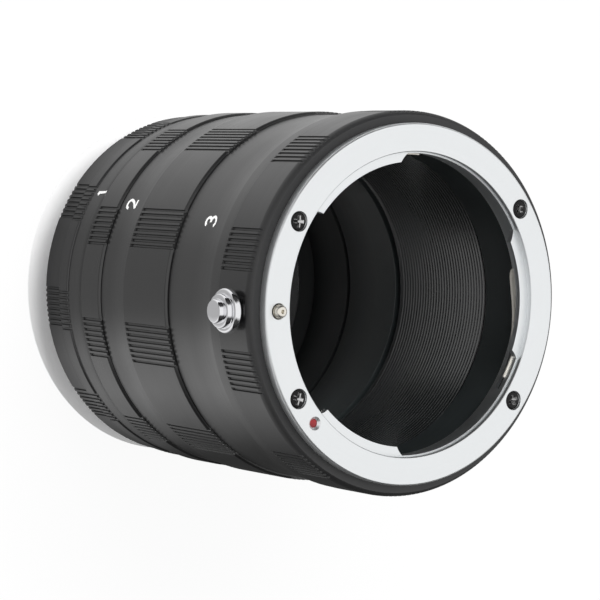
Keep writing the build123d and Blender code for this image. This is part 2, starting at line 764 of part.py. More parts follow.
def all_pieces():
    """Every piece by its name"""
    tube_1, numeral_1 = make_tube_1()
    tube_2, numeral_2 = make_tube_2()
    tube_3, numeral_3 = make_tube_3()
    pieces = {
        "camera_mount_plate": make_camera_mount_plate(),
        "camera_ring": make_camera_ring(),
        "lock_ring": make_lock_ring(),
        "tube_1": tube_1,
        "tube_2": tube_2,
        "tube_3": tube_3,
        "numeral_1": numeral_1,
        "numeral_2": numeral_2,
        "numeral_3": numeral_3,
        "lens_ring": make_lens_ring(),
        "lens_mount_plate": make_lens_mount_plate(),
        "index_dot": make_index_dot(),
        "lock_pin": make_lock_pin(),
        "pin_spring": make_pin_spring(),
        "knob_stem": make_knob_stem(),
        "release_knob": make_release_knob(),
    }
    for k in range(len(TAB_INNER_DEG)):
        pieces[f"leaf_spring_{k + 1}"] = make_leaf_spring(k)
    for k, placed in enumerate(lens_screw_set(screw(LENS_SCREW_L))):
        pieces[f"lens_mount_screw_{k + 1}"] = placed
    for k, placed in enumerate(camera_screw_set(screw(CAMERA_SCREW_L))):
        pieces[f"camera_mount_screw_{k + 1}"] = placed
    return pieces


for name, shape in all_pieces().items():
    export_step(single(shape), f"parts/{name}.step")
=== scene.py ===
import math

import bmesh
import bpy
import numpy as np
from mathutils import Matrix, Vector


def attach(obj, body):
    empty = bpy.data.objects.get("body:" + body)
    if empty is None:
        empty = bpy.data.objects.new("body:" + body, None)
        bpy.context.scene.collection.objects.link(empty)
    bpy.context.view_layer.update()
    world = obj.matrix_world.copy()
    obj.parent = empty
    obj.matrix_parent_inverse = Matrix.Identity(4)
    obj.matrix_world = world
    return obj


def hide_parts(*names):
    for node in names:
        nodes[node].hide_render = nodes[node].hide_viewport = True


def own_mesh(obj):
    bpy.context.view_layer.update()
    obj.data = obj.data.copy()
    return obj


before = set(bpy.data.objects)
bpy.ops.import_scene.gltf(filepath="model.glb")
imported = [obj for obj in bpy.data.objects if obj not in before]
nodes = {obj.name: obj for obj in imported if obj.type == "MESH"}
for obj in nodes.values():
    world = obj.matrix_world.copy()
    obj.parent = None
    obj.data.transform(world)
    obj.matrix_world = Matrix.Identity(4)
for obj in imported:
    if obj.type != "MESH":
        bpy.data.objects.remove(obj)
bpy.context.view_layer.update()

MM = 0.001

# Heights along the optical axis and radii, in mm, as in the part
BAYONET_H = 4.6
CAMERA_RING_Z = 5.8
LOCK_RING_Z = 10.5
TUBE_1_Z = 13.3
TUBE_2_Z = 23.8
TUBE_3_Z = 43.8
LENS_RING_Z = 58.3
LENS_SEAT_Z = 66.7
FRONT_Z = 68.3
BORE_R = 25.0
THREAD_R = 27.3
SOCKET_R = 27.35
WAIST_R = 29.2
CAMERA_RING_R = 29.0
LOCK_RING_R = 29.3
TUBE_1_WAIST_R = 29.1
TUBE_1_BAND_R = 29.6
TUBE_2_BAND_R = 29.75
TUBE_3_BAND_R = 29.8
LENS_RING_R = 29.85
LENS_RING_FACE_R = 29.2
LENS_RING_BORE_R = 24.15
CAMERA_HOLE_R = 22.05
CAMERA_FLOOR_Z = 7.6
LOCK_HOLE_Z = (4.0, 5.9)

# Heights of the tubes, of their waists and bands, and lengths of sockets and their threads
TUBE_1_H = 10.5
TUBE_1_WAIST_H = 2.0
TUBE_1_BAND_H = 5.5
TUBE_1_SOCKET_L = 6.3
TUBE_1_THREAD_L = 5.5
TUBE_2_H = 20.0
TUBE_2_WAIST_H = 2.5
TUBE_2_BAND_H = 12.3
TUBE_2_SOCKET_L = 12.45
TUBE_2_THREAD_L = 11.15
TUBE_3_WAIST_H = 6.5
TUBE_3_BAND_H = 2.0

# Lens plate and its tabs
PLATE_R = 27.95
PLATE_IN_R = 23.55
SKIRT_OUT_R = 24.1
SKIRT_IN_R = 23.5
SKIRT_H = 4.1
LEDGE_R = 23.3
PLATE_IN_BREAK = [(0, 0.14), (0.01, 0.1), (0.1, 0.01), (0.15, 0)]
PLATE_OUT_BREAK = [(0.29, 0), (0.22, 0.02), (0.03, 0.21), (0, 0.3)]
TAB_R = 22.0
TAB_DROP = 0.95
TAB_H = 1.0
TAB_HOLLOW = 0.15
TAB_SINK = 0.35
TAB_OUTER_DEG = [(-22.2, 31.2), (93.0, 143.7), (224.3, 268.9)]
TAB_INNER_DEG = [(-19.3, 26.6), (97.2, 141.7), (226.0, 265.5)]
WINDOW_R = (22.5, 25.1)
WINDOW_H = 1.25
WINDOW_DEG = (-15.7, 2.5)

# Threads, cut inwards on the male side and outwards on the female side
THREAD_PITCH = 0.75
THREAD_DEPTH = 0.35
THREAD_LOW_Z = {1: 7.8, 2: 18.3, 3: 32.65}
THREAD_RUNOUT = 0.9
THREAD_LEAD = 0.3
THREAD_LAST = 0.35
CREST_HALF_W = 0.06
SOCKET_BREAK = 0.12
SOCKET_LEAD = 0.4
NARROW_SOCKET_L = 2.4
LENS_THREAD_L = 3.0
LENS_THREAD_STEPS = ((0.6, 0.95), (1.3, 1.65), (2.0, 2.35))

# Lens ring: where its grooves start, its cone below the bore and its rounded shoulder
LENS_GROOVE_START = 0.16
LENS_CONE_H = 1.2
SHOULDER_W = 0.65
SHOULDER_H = 1.2
SHOULDER_BULGE = 0.2

# Light trap of tube 3: crest by crest, as steps down and shares of the depth
RIDGE_PITCH = 0.7
RIDGE_DEPTH = 0.3
RIDGE_SHAPE = [(0.03, 0.0), (0.09, 0.06), (0.22, 0.5), (0.33, 0.97), (0.4, 0.97), (0.5, 0.5), (0.63, 0.06)]
TRAP_DROP = 3.1
TRAP_FOOT = 0.2

# Broken edges, as steps inwards from the side and along the axis from the face
FOOT_BREAK = [(0.17, 0.0), (0.13, 0.02), (0.02, 0.13), (0.0, 0.2)]
NARROW_BREAK = [(0.3, 0.0), (0.24, 0.02), (0.14, 0.1), (0.02, 0.23), (0.0, 0.3)]
LENS_FOOT_BREAK = [(0.08, 0.0), (0.02, 0.02), (0.0, 0.08)]
BORE_BREAK = 0.05
MOUTH_BREAK = 0.1
TUBE_3_BREAK = 0.06
FACE_ROW = 0.6
# The band's rim, as steps down and inwards, between the patches and in them
BAND_RIM = [(0.41, 0.0, 0.0), (0.34, 0.02, 0.0), (0.25, 0.1, 0.0)]
BAND_RIM += [(0.08, 0.27, 0.0), (0.02, 0.33, 0.02), (0.0, 0.37, 0.08)]

# Grip patches
PATCH_COUNT = 10
PATCH_GROOVES = 8
GROOVE_STEP_DEG = 1.69
GROOVE_W = 0.46
GROOVE_DEPTH = 0.3
GROOVE_LIP = 1.08
GROOVE_SHAPE = [(-GROOVE_LIP, 0.0), (-1.0, 0.25), (-0.75, 0.75), (-0.35, 0.97), (0.0, 1.0)]
GROOVE_SHAPE += [(-x, d) for x, d in GROOVE_SHAPE[-2::-1]]
GROOVE_START = 0.02
GROOVE_FULL = 0.1
PLAIN_STEPS = 24
CAMERA_RING_FIRST_DEG = 151.0
LOCK_RING_FIRST_DEG = 152.0
TUBE_FIRST_DEG = 159.6
LENS_RING_FIRST_DEG = 164.3

# Screws: pitch circle, places, length under the face and sizes of head and countersink
SCREW_PITCH_R = 25.6
LENS_SCREW_DEG = [36.3, 150.9, 213.2, 323.6]
CAMERA_SCREW_DEG = [45.0, 135.0, 225.0, 315.0]
LENS_SCREW_L = 4.0
CAMERA_SCREW_L = 2.6
SCREW_SINK = 0.1
SINK_RIM_R = 1.56
SINK_R = 1.5
SHANK_HOLE_R = 0.82
SHANK_R = 0.8
SHANK_ROOT_R = 0.66
SCREW_THREAD_PITCH = 0.3
SCREW_FIRST_DEG = 8
SCREW_TURN_DEG = 17.0
HEAD_DOME = [(0, 0.0), (0.5, -0.006), (0.85, -0.025), (1.1, -0.06), (1.28, -0.11), (1.38, -0.17)]
HEAD_DOME += [(1.42, -0.23), (1.4, -0.27), (0.82, -0.8), (SHANK_R, -0.84)]
# The cross recess, as height, half length and half width of its arms
CROSS_LEVELS = ((0.05, 1.02, 0.36), (-0.14, 0.84, 0.2), (-0.75, 0.34, 0.12))
RECESS_R = 1.1
RECESS_Z = (-0.8, -0.02)

# Lock pin, its spring and the knob
RELEASE_DEG = 182.1
KNOB_Z = 62.6
PIN_BORE_R = 1.05
PIN_BORE_TOP_Z = 68.0
PIN_FOOT = 1.9
PIN_PROUD = 1.05
# The pin's nose, from the dimple's floor outwards, as radius and step down from the tip
PIN_NOSE = [(0, 0.5), (0.1, 0.48), (0.2, 0.3), (0.26, 0.06), (0.32, 0.01), (0.45, 0.015)]
PIN_NOSE += [(0.62, 0.04), (0.76, 0.09), (0.86, 0.17), (0.92, 0.27), (0.95, 0.4)]
PIN_NOSE_R = 0.95
PIN_R = 1.0
PIN_FOOT_BREAK = 0.06
SPRING_L = 3.7
SPRING_WIRE_R = 0.12
SPRING_TURNS = 7
SPRING_STEPS = 28
SPRING_SIDES = 8
SPRING_CLOSED = 0.7
SPRING_FOOT_Z = 57.0
SPRING_CLEARANCE = 0.1
STEM_R = 0.8
STEM_SLOT_R = 0.85
STEM_SLOT_HALF = 0.65
STEM_DEPTH = 1.6
STEM_CUT = 2
KNOB_GAP = 0.1
COLLAR_R = 2.42
COLLAR_H = 0.5
DISC_R = 3.38
DISC_ROUND = 0.45
DISC_TOP = 1.8
TIER_R = 2.6
TIER_H = 0.85
CAP_R = 1.8
CAP_H = 0.9
CAP_DOME = 0.012

# Index dot: a hole that opens in a cone, with a pool of paint
DOT_PITCH_R = 25.5
DOT_DEG = 224.2
DOT_DEPTH = 0.9
DOT_FLOOR_R = 0.66
DOT_MOUTH_R = 1.05
DOT_CONE_H = 0.38
POOL_H = 0.5
POOL_DOME = [(0, 0.06), (0.2, 0.05), (0.4, 0.02), (0.55, -0.02), (0.655, -0.06)]

# Columns of the turned pieces
PLATE_COLUMNS = 384
TRAP_COLUMNS = 300
HOLE_COLUMNS = 32
SMALL_COLUMNS = 48
SCREW_COLUMNS = 64
KNOB_COLUMNS = 96


def new_object(name, verts, faces, sharp_deg=30.0):
    """Mesh object from points in mm, smooth except across sharp edges"""
    mesh = bpy.data.meshes.new(name)
    mesh.from_pydata([tuple(v) for v in np.asarray(verts, dtype=float) * MM], [], faces)
    mesh.validate()
    obj = bpy.data.objects.new(name, mesh)
    bpy.context.scene.collection.objects.link(obj)
    shade(obj, sharp_deg)
    return obj


def shade(obj, sharp_deg=30.0):
    """Outward normals and smooth shading with sharp edges kept"""
    work = bmesh.new()
    work.from_mesh(obj.data)
    bmesh.ops.recalc_face_normals(work, faces=work.faces)
    work.to_mesh(obj.data)
    work.free()
    obj.data.polygons.foreach_set("use_smooth", [True] * len(obj.data.polygons))
    obj.data.set_sharp_from_angle(angle=math.radians(sharp_deg))


def closed_lathe(name, radii, heights, angles, sharp_deg=30.0):
    """Closed body of revolution: radii by row and column, heights by row"""
    rows, cols = radii.shape
    turn = np.radians(angles)
    verts = np.empty((rows, cols, 3))
    verts[:, :, 0] = radii * np.cos(turn)
    verts[:, :, 1] = radii * np.sin(turn)
    verts[:, :, 2] = heights[:, None]
    faces = []
    for i in range(rows):
        a = i * cols
        b = ((i + 1) % rows) * cols
        for j in range(cols):
            k = (j + 1) % cols
            faces.append((a + j, a + k, b + k, b + j))
    return new_object(name, verts.reshape(-1, 3), faces, sharp_deg)


def turned_piece(name, points, columns, matrix=None, sharp_deg=30.0):
    """Lathe of a (radius, height) outline that starts and ends on the axis"""
    verts = [(0.0, 0.0, points[0][1])]
    inner = points[1:-1]
    for r, z in inner:
        for j in range(columns):
            turn = 2 * math.pi * j / columns
            verts.append((r * math.cos(turn), r * math.sin(turn), z))
    verts.append((0.0, 0.0, points[-1][1]))
    last = len(verts) - 1
    faces = []
    for j in range(columns):
        k = (j + 1) % columns
        faces.append((0, 1 + j, 1 + k))
        for i in range(len(inner) - 1):
            a = 1 + i * columns
            b = a + columns
            faces.append((a + j, b + j, b + k, a + k))
        a = 1 + (len(inner) - 1) * columns
        faces.append((a + j, last, a + k))
    verts = np.array(verts)
    if matrix is not None:
        verts = verts @ np.array(matrix.to_3x3()).T + np.array(matrix.translation)
    return new_object(name, verts, faces, sharp_deg)


def rod(radius, low, high, columns, matrix):
    """Plain round cutter"""
    return turned_piece("cut", [(0, low), (radius, low), (radius, high), (0, high)], columns, matrix)


def ring_outline(points, columns, name, sharp_deg=30.0):
    """Closed lathe of a (radius, height) outline with even columns"""
    angles = np.arange(columns) * 360.0 / columns
    radii = np.repeat(np.array([p[0] for p in points])[:, None], columns, axis=1)
    return closed_lathe(name, radii, np.array([p[1] for p in points]), angles, sharp_deg)


def boolean(target, cutter, operation):
    """Applies an exact boolean and removes the cutter"""
    mod = target.modifiers.new("cut", "BOOLEAN")
    mod.operation = operation
    mod.solver = "EXACT"
    mod.object = cutter
    depsgraph = bpy.context.evaluated_depsgraph_get()
    done = bpy.data.meshes.new_from_object(target.evaluated_get(depsgraph))
    target.modifiers.clear()
    old = target.data
    target.data = done
    bpy.data.meshes.remove(old)
    bpy.data.objects.remove(cutter, do_unlink=True)


def joined(objects, name):
    """One object from several that don't touch each other"""
    work = bmesh.new()
    for obj in objects:
        work.from_mesh(obj.data)
        bpy.data.objects.remove(obj, do_unlink=True)
    mesh = bpy.data.meshes.new(name)
    work.to_mesh(mesh)
    work.free()
    obj = bpy.data.objects.new(name, mesh)
    bpy.context.scene.collection.objects.link(obj)
    return obj


def prism_sides(count):
    """Side faces between two outlines of the same number of points"""
    return [(k, (k + 1) % count, count + (k + 1) % count, count + k) for k in range(count)]


def at_pitch(radius, degrees, z, flip=False):
    """Frame at a pitch radius and angle, in mm"""
    turn = math.radians(degrees)
    place = Matrix.Translation((radius * math.cos(turn), radius * math.sin(turn), z))
    place = place @ Matrix.Rotation(turn, 4, "Z")
    return place @ Matrix.Rotation(math.pi, 4, "X") if flip else place


def release_axis():
    """Frame whose Z points out along the knob"""
    place = Matrix.Rotation(math.radians(RELEASE_DEG), 4, "Z") @ Matrix.Translation((0, 0, KNOB_Z))
    return place @ Matrix.Rotation(math.radians(90), 4, "Y")


def grip_columns(first, band_r):
    """Angles with, for each, whether it lies in a patch and how deep in a groove"""
    half_w = math.degrees(GROOVE_W / 2 / band_r)
    half_patch = GROOVE_STEP_DEG * (PATCH_GROOVES - 1) / 2
    pitch = 360.0 / PATCH_COUNT
    cols = []
    for p in range(PATCH_COUNT):
        centre = first + p * pitch
        for g in range(PATCH_GROOVES):
            at = centre - half_patch + g * GROOVE_STEP_DEG
            for x, depth in GROOVE_SHAPE:
                outside = (g == 0 and x < 0) or (g == PATCH_GROOVES - 1 and x > 0)
                cols.append((at + x * half_w, 0 if outside else 1, depth))
        start = centre + half_patch + GROOVE_LIP * half_w
        span = pitch - 2 * half_patch - 2 * GROOVE_LIP * half_w
        for k in range(1, PLAIN_STEPS):
            cols.append((start + span * k / PLAIN_STEPS, 0, 0.0))
    return np.array(cols)


def grooved(name, rows, first, band_r):
    """Ring whose rows are (z, r between patches, r in patches, grooved)"""
    cols = grip_columns(first, band_r)
    table = np.array(rows, dtype=float)
    in_patch = cols[:, 1][None, :]
    base = table[:, 1][:, None] * (1 - in_patch) + table[:, 2][:, None] * in_patch
    floor = band_r - GROOVE_DEPTH * cols[:, 2][None, :]
    cut = table[:, 3][:, None]
    radii = np.where(cut > 0, np.minimum(base, floor), base)
    return closed_lathe(name, radii, table[:, 0], cols[:, 0])


def same(points, cut=0):
    """Rows with one radius all round"""
    return [(z, r, r, cut) for r, z in points]


def male_thread(z_low, z_high):
    """Outline of a thread cut into the male radius, from the top down"""
    points = [(THREAD_R, z_high)]
    z = z_high - THREAD_RUNOUT
    while z - THREAD_PITCH > z_low + THREAD_LAST:
        points.append((THREAD_R, z + CREST_HALF_W))
        points.append((THREAD_R, z - CREST_HALF_W))
        points.append((THREAD_R - THREAD_DEPTH, z - THREAD_PITCH / 2))
        z -= THREAD_PITCH
    points.append((THREAD_R, z))
    points.append((THREAD_R, z_low + THREAD_LEAD))
    points.append((THREAD_R - THREAD_LEAD, z_low))
    return points


def female_thread(z_low, z_high, length):
    """Outline of a thread cut into the socket, from the top down"""
    points = [(SOCKET_R + SOCKET_BREAK, z_high), (SOCKET_R, z_high - SOCKET_BREAK)]
    z = z_high - SOCKET_LEAD
    while z - THREAD_PITCH > z_high - length:
        points.append((SOCKET_R, z))
        points.append((SOCKET_R + THREAD_DEPTH, z - THREAD_PITCH / 2))
        z -= THREAD_PITCH
    points.append((SOCKET_R, z))
    points.append((SOCKET_R, z_low))
    return points


def flare(z0, z1, r0, r1, steps=14):
    """Concave arc from a waist up to a band"""
    rise, run = r1 - r0, z1 - z0
    big = (run * run + rise * rise) / (2 * rise)
    out = []
    for k in range(steps + 1):
        z = z0 + run * k / steps
        out.append((r0 + big - math.sqrt(big * big - (z - z0) ** 2), z))
    return out


def shoulder(r, top, steps=12):
    """Convex arc from the ring's side round to its face"""
    width, height, bulge = SHOULDER_W, SHOULDER_H, SHOULDER_BULGE
    chord = math.hypot(width, height)
    big = (chord * chord / 4 + bulge * bulge) / (2 * bulge)
    half = math.asin(chord / 2 / big)
    tilt = math.atan2(width, height)
    mid_r, mid_z = r - width / 2, top - height / 2
    centre_r = mid_r - (big - bulge) * math.cos(tilt)
    centre_z = mid_z - (big - bulge) * math.sin(tilt)
    out = []
    for k in range(steps + 1):
        turn = tilt - half + 2 * half * k / steps
        out.append((centre_r + big * math.cos(turn), centre_z + big * math.sin(turn)))
    return out


def ridged_bore(z_top, z_bottom):
    """Light trap: rounded crests at the bore radius, from the top down"""
    out = []
    for k in range(int((z_top - z_bottom) / RIDGE_PITCH)):
        crest = z_top - k * RIDGE_PITCH
        out += [(BORE_R + RIDGE_DEPTH * deep, crest - down) for down, deep in RIDGE_SHAPE]
    return out


def tube_rows(z0, height, waist_r, band_r, waist_h, band_h, thread_low, socket_l, thread_l):
    """Rows of a tube with grip patches, from the thread shoulder outwards and round"""
    top = z0 + height
    rows = same([(THREAD_R, z0)] + [(waist_r - inward, z0 + up) for inward, up in FOOT_BREAK])
    rows += same([(waist_r, z0 + 0.5 * waist_h)])
    rows += same(flare(z0 + waist_h, top - band_h, waist_r, band_r))
    rows += same([(band_r, top - band_h + GROOVE_START)])
    rows += same([(band_r, top - band_h + GROOVE_FULL), (band_r, top - 0.5 * band_h)], 1)
    rows += [(top - down, band_r - between, band_r - inside, 1) for down, between, inside in BAND_RIM]
    rows += same([(SOCKET_R + FACE_ROW, top)])
    rows += same(female_thread(top - socket_l, top, thread_l))
    rows += same([(BORE_R + BORE_BREAK, top - socket_l), (BORE_R, top - socket_l - BORE_BREAK)])
    rows += same([(BORE_R, thread_low + MOUTH_BREAK), (BORE_R + MOUTH_BREAK, thread_low)])
    return rows + same(male_thread(thread_low, z0)[::-1][:-1])


def narrow_ring_rows(r, z0, z1, inner):
    """Rows of a grooved ring with both edges broken"""
    rows = [(z0 + up, r - inward, r - inward, 1) for inward, up in NARROW_BREAK]
    rows.append(((z0 + z1) / 2, r, r, 1))
    rows += [(z1 - down, r - inward, r - inward, 1) for inward, down in NARROW_BREAK[::-1]]
    return rows + same(inner)


def tube_3_skin():
    """Smooth outside, ridged light trap inside"""
    z0, top = TUBE_3_Z, LENS_RING_Z
    low = THREAD_LOW_Z[3]
    points = [(THREAD_R, z0)] + [(WAIST_R - inward, z0 + up) for inward, up in FOOT_BREAK]
    points += flare(z0 + TUBE_3_WAIST_H, top - TUBE_3_BAND_H, WAIST_R, TUBE_3_BAND_R)
    points += [(TUBE_3_BAND_R, top - TUBE_3_BREAK), (TUBE_3_BAND_R - TUBE_3_BREAK, top)]
    points += [(SOCKET_R + FACE_ROW, top)]
    points += female_thread(top - TRAP_DROP, top, LENS_THREAD_L)
    points += ridged_bore(top - TRAP_DROP, low + TRAP_FOOT)
    points += [(BORE_R, low + MOUTH_BREAK), (BORE_R + MOUTH_BREAK, low)]
    points += male_thread(low, z0)[::-1][:-1]
    return ring_outline(points, TRAP_COLUMNS, "tube_3_skin", 24.0)


def camera_ring_skin():
    """Ring at the camera end, with its screws' and lock hole's openings"""
    socket = [(SOCKET_R + SOCKET_BREAK, LOCK_RING_Z), (SOCKET_R, LOCK_RING_Z - SOCKET_BREAK)]
    socket += female_thread(CAMERA_FLOOR_Z, LOCK_RING_Z, NARROW_SOCKET_L)[2:]
    socket += [(CAMERA_HOLE_R, CAMERA_FLOOR_Z), (CAMERA_HOLE_R, CAMERA_RING_Z)]
    rows = narrow_ring_rows(CAMERA_RING_R, CAMERA_RING_Z, LOCK_RING_Z, socket)
    ring = grooved("camera_ring_skin", rows, CAMERA_RING_FIRST_DEG, CAMERA_RING_R)
    cutters = [screw_cutter(a, True) for a in CAMERA_SCREW_DEG]
    pin_place = at_pitch(SCREW_PITCH_R, RELEASE_DEG, 0.0)
    cutters.append(rod(PIN_BORE_R, *LOCK_HOLE_Z, HOLE_COLUMNS, pin_place))
    boolean(ring, joined(cutters, "cutters"), "DIFFERENCE")
    shade(ring)
    return ring


def lock_ring_skin():
    """Narrow ring between tube 1 and the camera ring"""
    rows = narrow_ring_rows(
        LOCK_RING_R, LOCK_RING_Z, TUBE_1_Z, female_thread(LOCK_RING_Z, TUBE_1_Z, NARROW_SOCKET_L)
    )
    return grooved("lock_ring_skin", rows, LOCK_RING_FIRST_DEG, LOCK_RING_R)


def tube_1_skin():
    """Short tube with grip patches"""
    rows = tube_rows(
        TUBE_1_Z, TUBE_1_H, TUBE_1_WAIST_R, TUBE_1_BAND_R, TUBE_1_WAIST_H, TUBE_1_BAND_H,
        THREAD_LOW_Z[1], TUBE_1_SOCKET_L, TUBE_1_THREAD_L,
    )
    return grooved("tube_1_skin", rows, TUBE_FIRST_DEG, TUBE_1_BAND_R)


def tube_2_skin():
    """Long tube with grip patches"""
    rows = tube_rows(
        TUBE_2_Z, TUBE_2_H, WAIST_R, TUBE_2_BAND_R, TUBE_2_WAIST_H, TUBE_2_BAND_H,
        THREAD_LOW_Z[2], TUBE_2_SOCKET_L, TUBE_2_THREAD_L,
    )
    return grooved("tube_2_skin", rows, TUBE_FIRST_DEG, TUBE_2_BAND_R)


def lens_ring_skin():
    """Front ring: grooves run out into a rounded shoulder"""
    z0, top, r = LENS_RING_Z, LENS_SEAT_Z, LENS_RING_R
    low = z0 - LENS_THREAD_L
    rows = same([(THREAD_R, z0)] + [(r - inward, z0 + up) for inward, up in LENS_FOOT_BREAK])
    rows += same([(r, z0 + LENS_GROOVE_START), (r, (z0 + top) / 2)], 1)
    rows += same([(r, top - SHOULDER_H - 0.1)] + shoulder(r, top), 1)
    rows += same([(LENS_RING_FACE_R - 0.1, top)])
    rows += same([(LENS_RING_BORE_R + MOUTH_BREAK, top), (LENS_RING_BORE_R, top - MOUTH_BREAK)])
    rows += same([(LENS_RING_BORE_R, low + LENS_CONE_H)])
    rows += same([(BORE_R, low + BORE_BREAK), (BORE_R + BORE_BREAK, low)])
    rows += same([(THREAD_R - THREAD_LEAD, low), (THREAD_R, low + THREAD_LEAD)])
    for root, crest in LENS_THREAD_STEPS:
        rows += same([(THREAD_R - THREAD_LEAD, low + root), (THREAD_R, low + crest)])
    ring = grooved("lens_ring_skin", rows, LENS_RING_FIRST_DEG, r)
    cutters = [screw_cutter(a, False) for a in LENS_SCREW_DEG]
    pin_place = at_pitch(SCREW_PITCH_R, RELEASE_DEG, 0.0)
    cutters.append(rod(PIN_BORE_R, SPRING_FOOT_Z, PIN_BORE_TOP_Z, HOLE_COLUMNS, pin_place))
    boolean(ring, joined(cutters, "cutters"), "DIFFERENCE")
    boolean(ring, stem_slot(), "DIFFERENCE")
    shade(ring)
    return ring


def stem_slot():
    """Cutter for the slot that the knob's stem travels in"""
    outline = []
    for start, middle in ((0.0, STEM_SLOT_HALF), (math.pi, -STEM_SLOT_HALF)):
        for k in range(33):
            turn = start + math.pi * k / 32
            outline.append((STEM_SLOT_R * math.cos(turn), middle + STEM_SLOT_R * math.sin(turn)))
    count = len(outline)
    verts = []
    for x in (SCREW_PITCH_R, LENS_RING_R + 1.0):
        verts += [(x, u, v + KNOB_Z - STEM_SLOT_HALF) for u, v in outline]
    faces = [tuple(range(count)), tuple(range(2 * count - 1, count - 1, -1))] + prism_sides(count)
    turn = np.array(Matrix.Rotation(math.radians(RELEASE_DEG), 3, "Z"))
    return new_object("cut", np.array(verts) @ turn.T, faces)


def screw_place(degrees, flip):
    """Frame of a mount screw, its Z out of the head"""
    z = BAYONET_H + SCREW_SINK if flip else FRONT_Z - SCREW_SINK
    return at_pitch(SCREW_PITCH_R, degrees, z, flip)


def screw_cutter(degrees, flip):
    """Cutter for a countersunk screw, with a broken rim"""
    end = -(CAMERA_SCREW_L if flip else LENS_SCREW_L) - 0.1
    points = [(0, 0.3), (SINK_RIM_R, 0.3), (SINK_RIM_R, SCREW_SINK), (SINK_R, SCREW_SINK - 0.06)]
    points += [(SINK_R, -0.2), (SHANK_HOLE_R, -0.88), (SHANK_HOLE_R, end), (0, end)]
    return turned_piece("cut", points, SMALL_COLUMNS, screw_place(degrees, flip))


def around(radius, degrees):
    """Point on a circle round the optical axis"""
    turn = math.radians(degrees)
    return np.array((radius * math.cos(turn), radius * math.sin(turn)))


def through(a, m, b, steps):
    """Curve from a through m towards b, without its last point"""
    ctrl = 2 * m - 0.5 * (a + b)
    shares = [k / steps for k in range(steps)]
    return [(1 - t) ** 2 * a + 2 * t * (1 - t) * ctrl + t * t * b for t in shares]


def tab_prism(outer, inner, bottom, top):
    """One bayonet tab with hollow ends and broken edges"""
    mid = (PLATE_IN_R + TAB_R) / 2
    hollow = math.degrees(TAB_HOLLOW / mid)
    start = around(mid, (outer[0] + inner[0]) / 2 + hollow)
    end = around(mid, (outer[1] + inner[1]) / 2 - hollow)
    steps = 56
    outline = through(around(PLATE_IN_R, outer[0]), start, around(TAB_R, inner[0]), 10)
    outline += [around(TAB_R, inner[0] + (inner[1] - inner[0]) * k / steps) for k in range(steps)]
    outline += through(around(TAB_R, inner[1]), end, around(PLATE_IN_R, outer[1]), 10)
    outline.append(around(PLATE_IN_R, outer[1]))
    root = PLATE_IN_R + TAB_SINK
    outline += [around(root, outer[1] + (outer[0] - outer[1]) * k / steps) for k in range(1, steps)]
    count = len(outline)
    verts = [(p[0], p[1], bottom) for p in outline] + [(p[0], p[1], top) for p in outline]
    faces = [tuple(range(count - 1, -1, -1)), tuple(range(count, 2 * count))] + prism_sides(count)
    obj = new_object("tab", verts, faces)
    work = bmesh.new()
    work.from_mesh(obj.data)
    sharp = math.radians(50)
    edges = [e for e in work.edges if len(e.link_faces) == 2 and e.calc_face_angle() > sharp]
    bmesh.ops.bevel(
        work, geom=edges, offset=0.07 * MM, segments=2, profile=0.6, affect="EDGES", clamp_overlap=True
    )
    work.to_mesh(obj.data)
    work.free()
    return obj


def arc_block(r0, r1, z0, z1, start, end, steps=24):
    """Solid slice of a ring"""
    verts, faces = [], []
    for k in range(steps + 1):
        turn = math.radians(start + (end - start) * k / steps)
        c, s = math.cos(turn), math.sin(turn)
        verts += [(r0 * c, r0 * s, z0), (r1 * c, r1 * s, z0), (r1 * c, r1 * s, z1), (r0 * c, r0 * s, z1)]
    for k in range(steps):
        a, b = 4 * k, 4 * k + 4
        faces += [(a + i, a + (i + 1) % 4, b + (i + 1) % 4, b + i) for i in range(4)]
    faces += [(0, 3, 2, 1), (4 * steps, 4 * steps + 1, 4 * steps + 2, 4 * steps + 3)]
    return new_object("block", verts, faces)


def plate_outline(tab_top, tab_low):
    """Plate with both edges of its face broken, its skirt and the ledge that the tabs grow from"""
    top, foot = FRONT_Z, FRONT_Z - SKIRT_H
    points = [(PLATE_IN_R, tab_top)]
    points += [(PLATE_IN_R + out, top - down) for out, down in PLATE_IN_BREAK]
    points += [(PLATE_R - inward, top - down) for inward, down in PLATE_OUT_BREAK]
    points += [(PLATE_R, LENS_SEAT_Z + 0.05), (PLATE_R - 0.05, LENS_SEAT_Z), (SKIRT_OUT_R, LENS_SEAT_Z)]
    points += [(SKIRT_OUT_R, foot + 0.03), (SKIRT_OUT_R - 0.03, foot), (SKIRT_IN_R + 0.03, foot)]
    points += [(SKIRT_IN_R, foot + 0.03), (SKIRT_IN_R, tab_low), (LEDGE_R + 0.04, tab_low)]
    return points + [(LEDGE_R, tab_low + 0.04), (LEDGE_R, tab_top - 0.04), (LEDGE_R + 0.04, tab_top)]


def pin_hole_cutter():
    """Cutter for the pin's hole in the plate, with a broken rim"""
    top = FRONT_Z
    points = [(0, 66.0), (1.175, 66.0), (1.175, top - 0.08), (1.255, top), (1.255, top + 0.2), (0, top + 0.2)]
    return turned_piece("cut", points, SMALL_COLUMNS, at_pitch(SCREW_PITCH_R, RELEASE_DEG, 0.0))


def dot_hole_cutter():
    """Cutter for the index dot's hole: straight below, a cone above"""
    floor = FRONT_Z - DOT_DEPTH
    points = [(0, floor), (DOT_FLOOR_R, floor), (DOT_FLOOR_R, FRONT_Z - DOT_CONE_H), (DOT_MOUTH_R, FRONT_Z)]
    points += [(DOT_MOUTH_R, FRONT_Z + 0.2), (0, FRONT_Z + 0.2)]
    return turned_piece("cut", points, SMALL_COLUMNS, at_pitch(DOT_PITCH_R, DOT_DEG, 0.0))


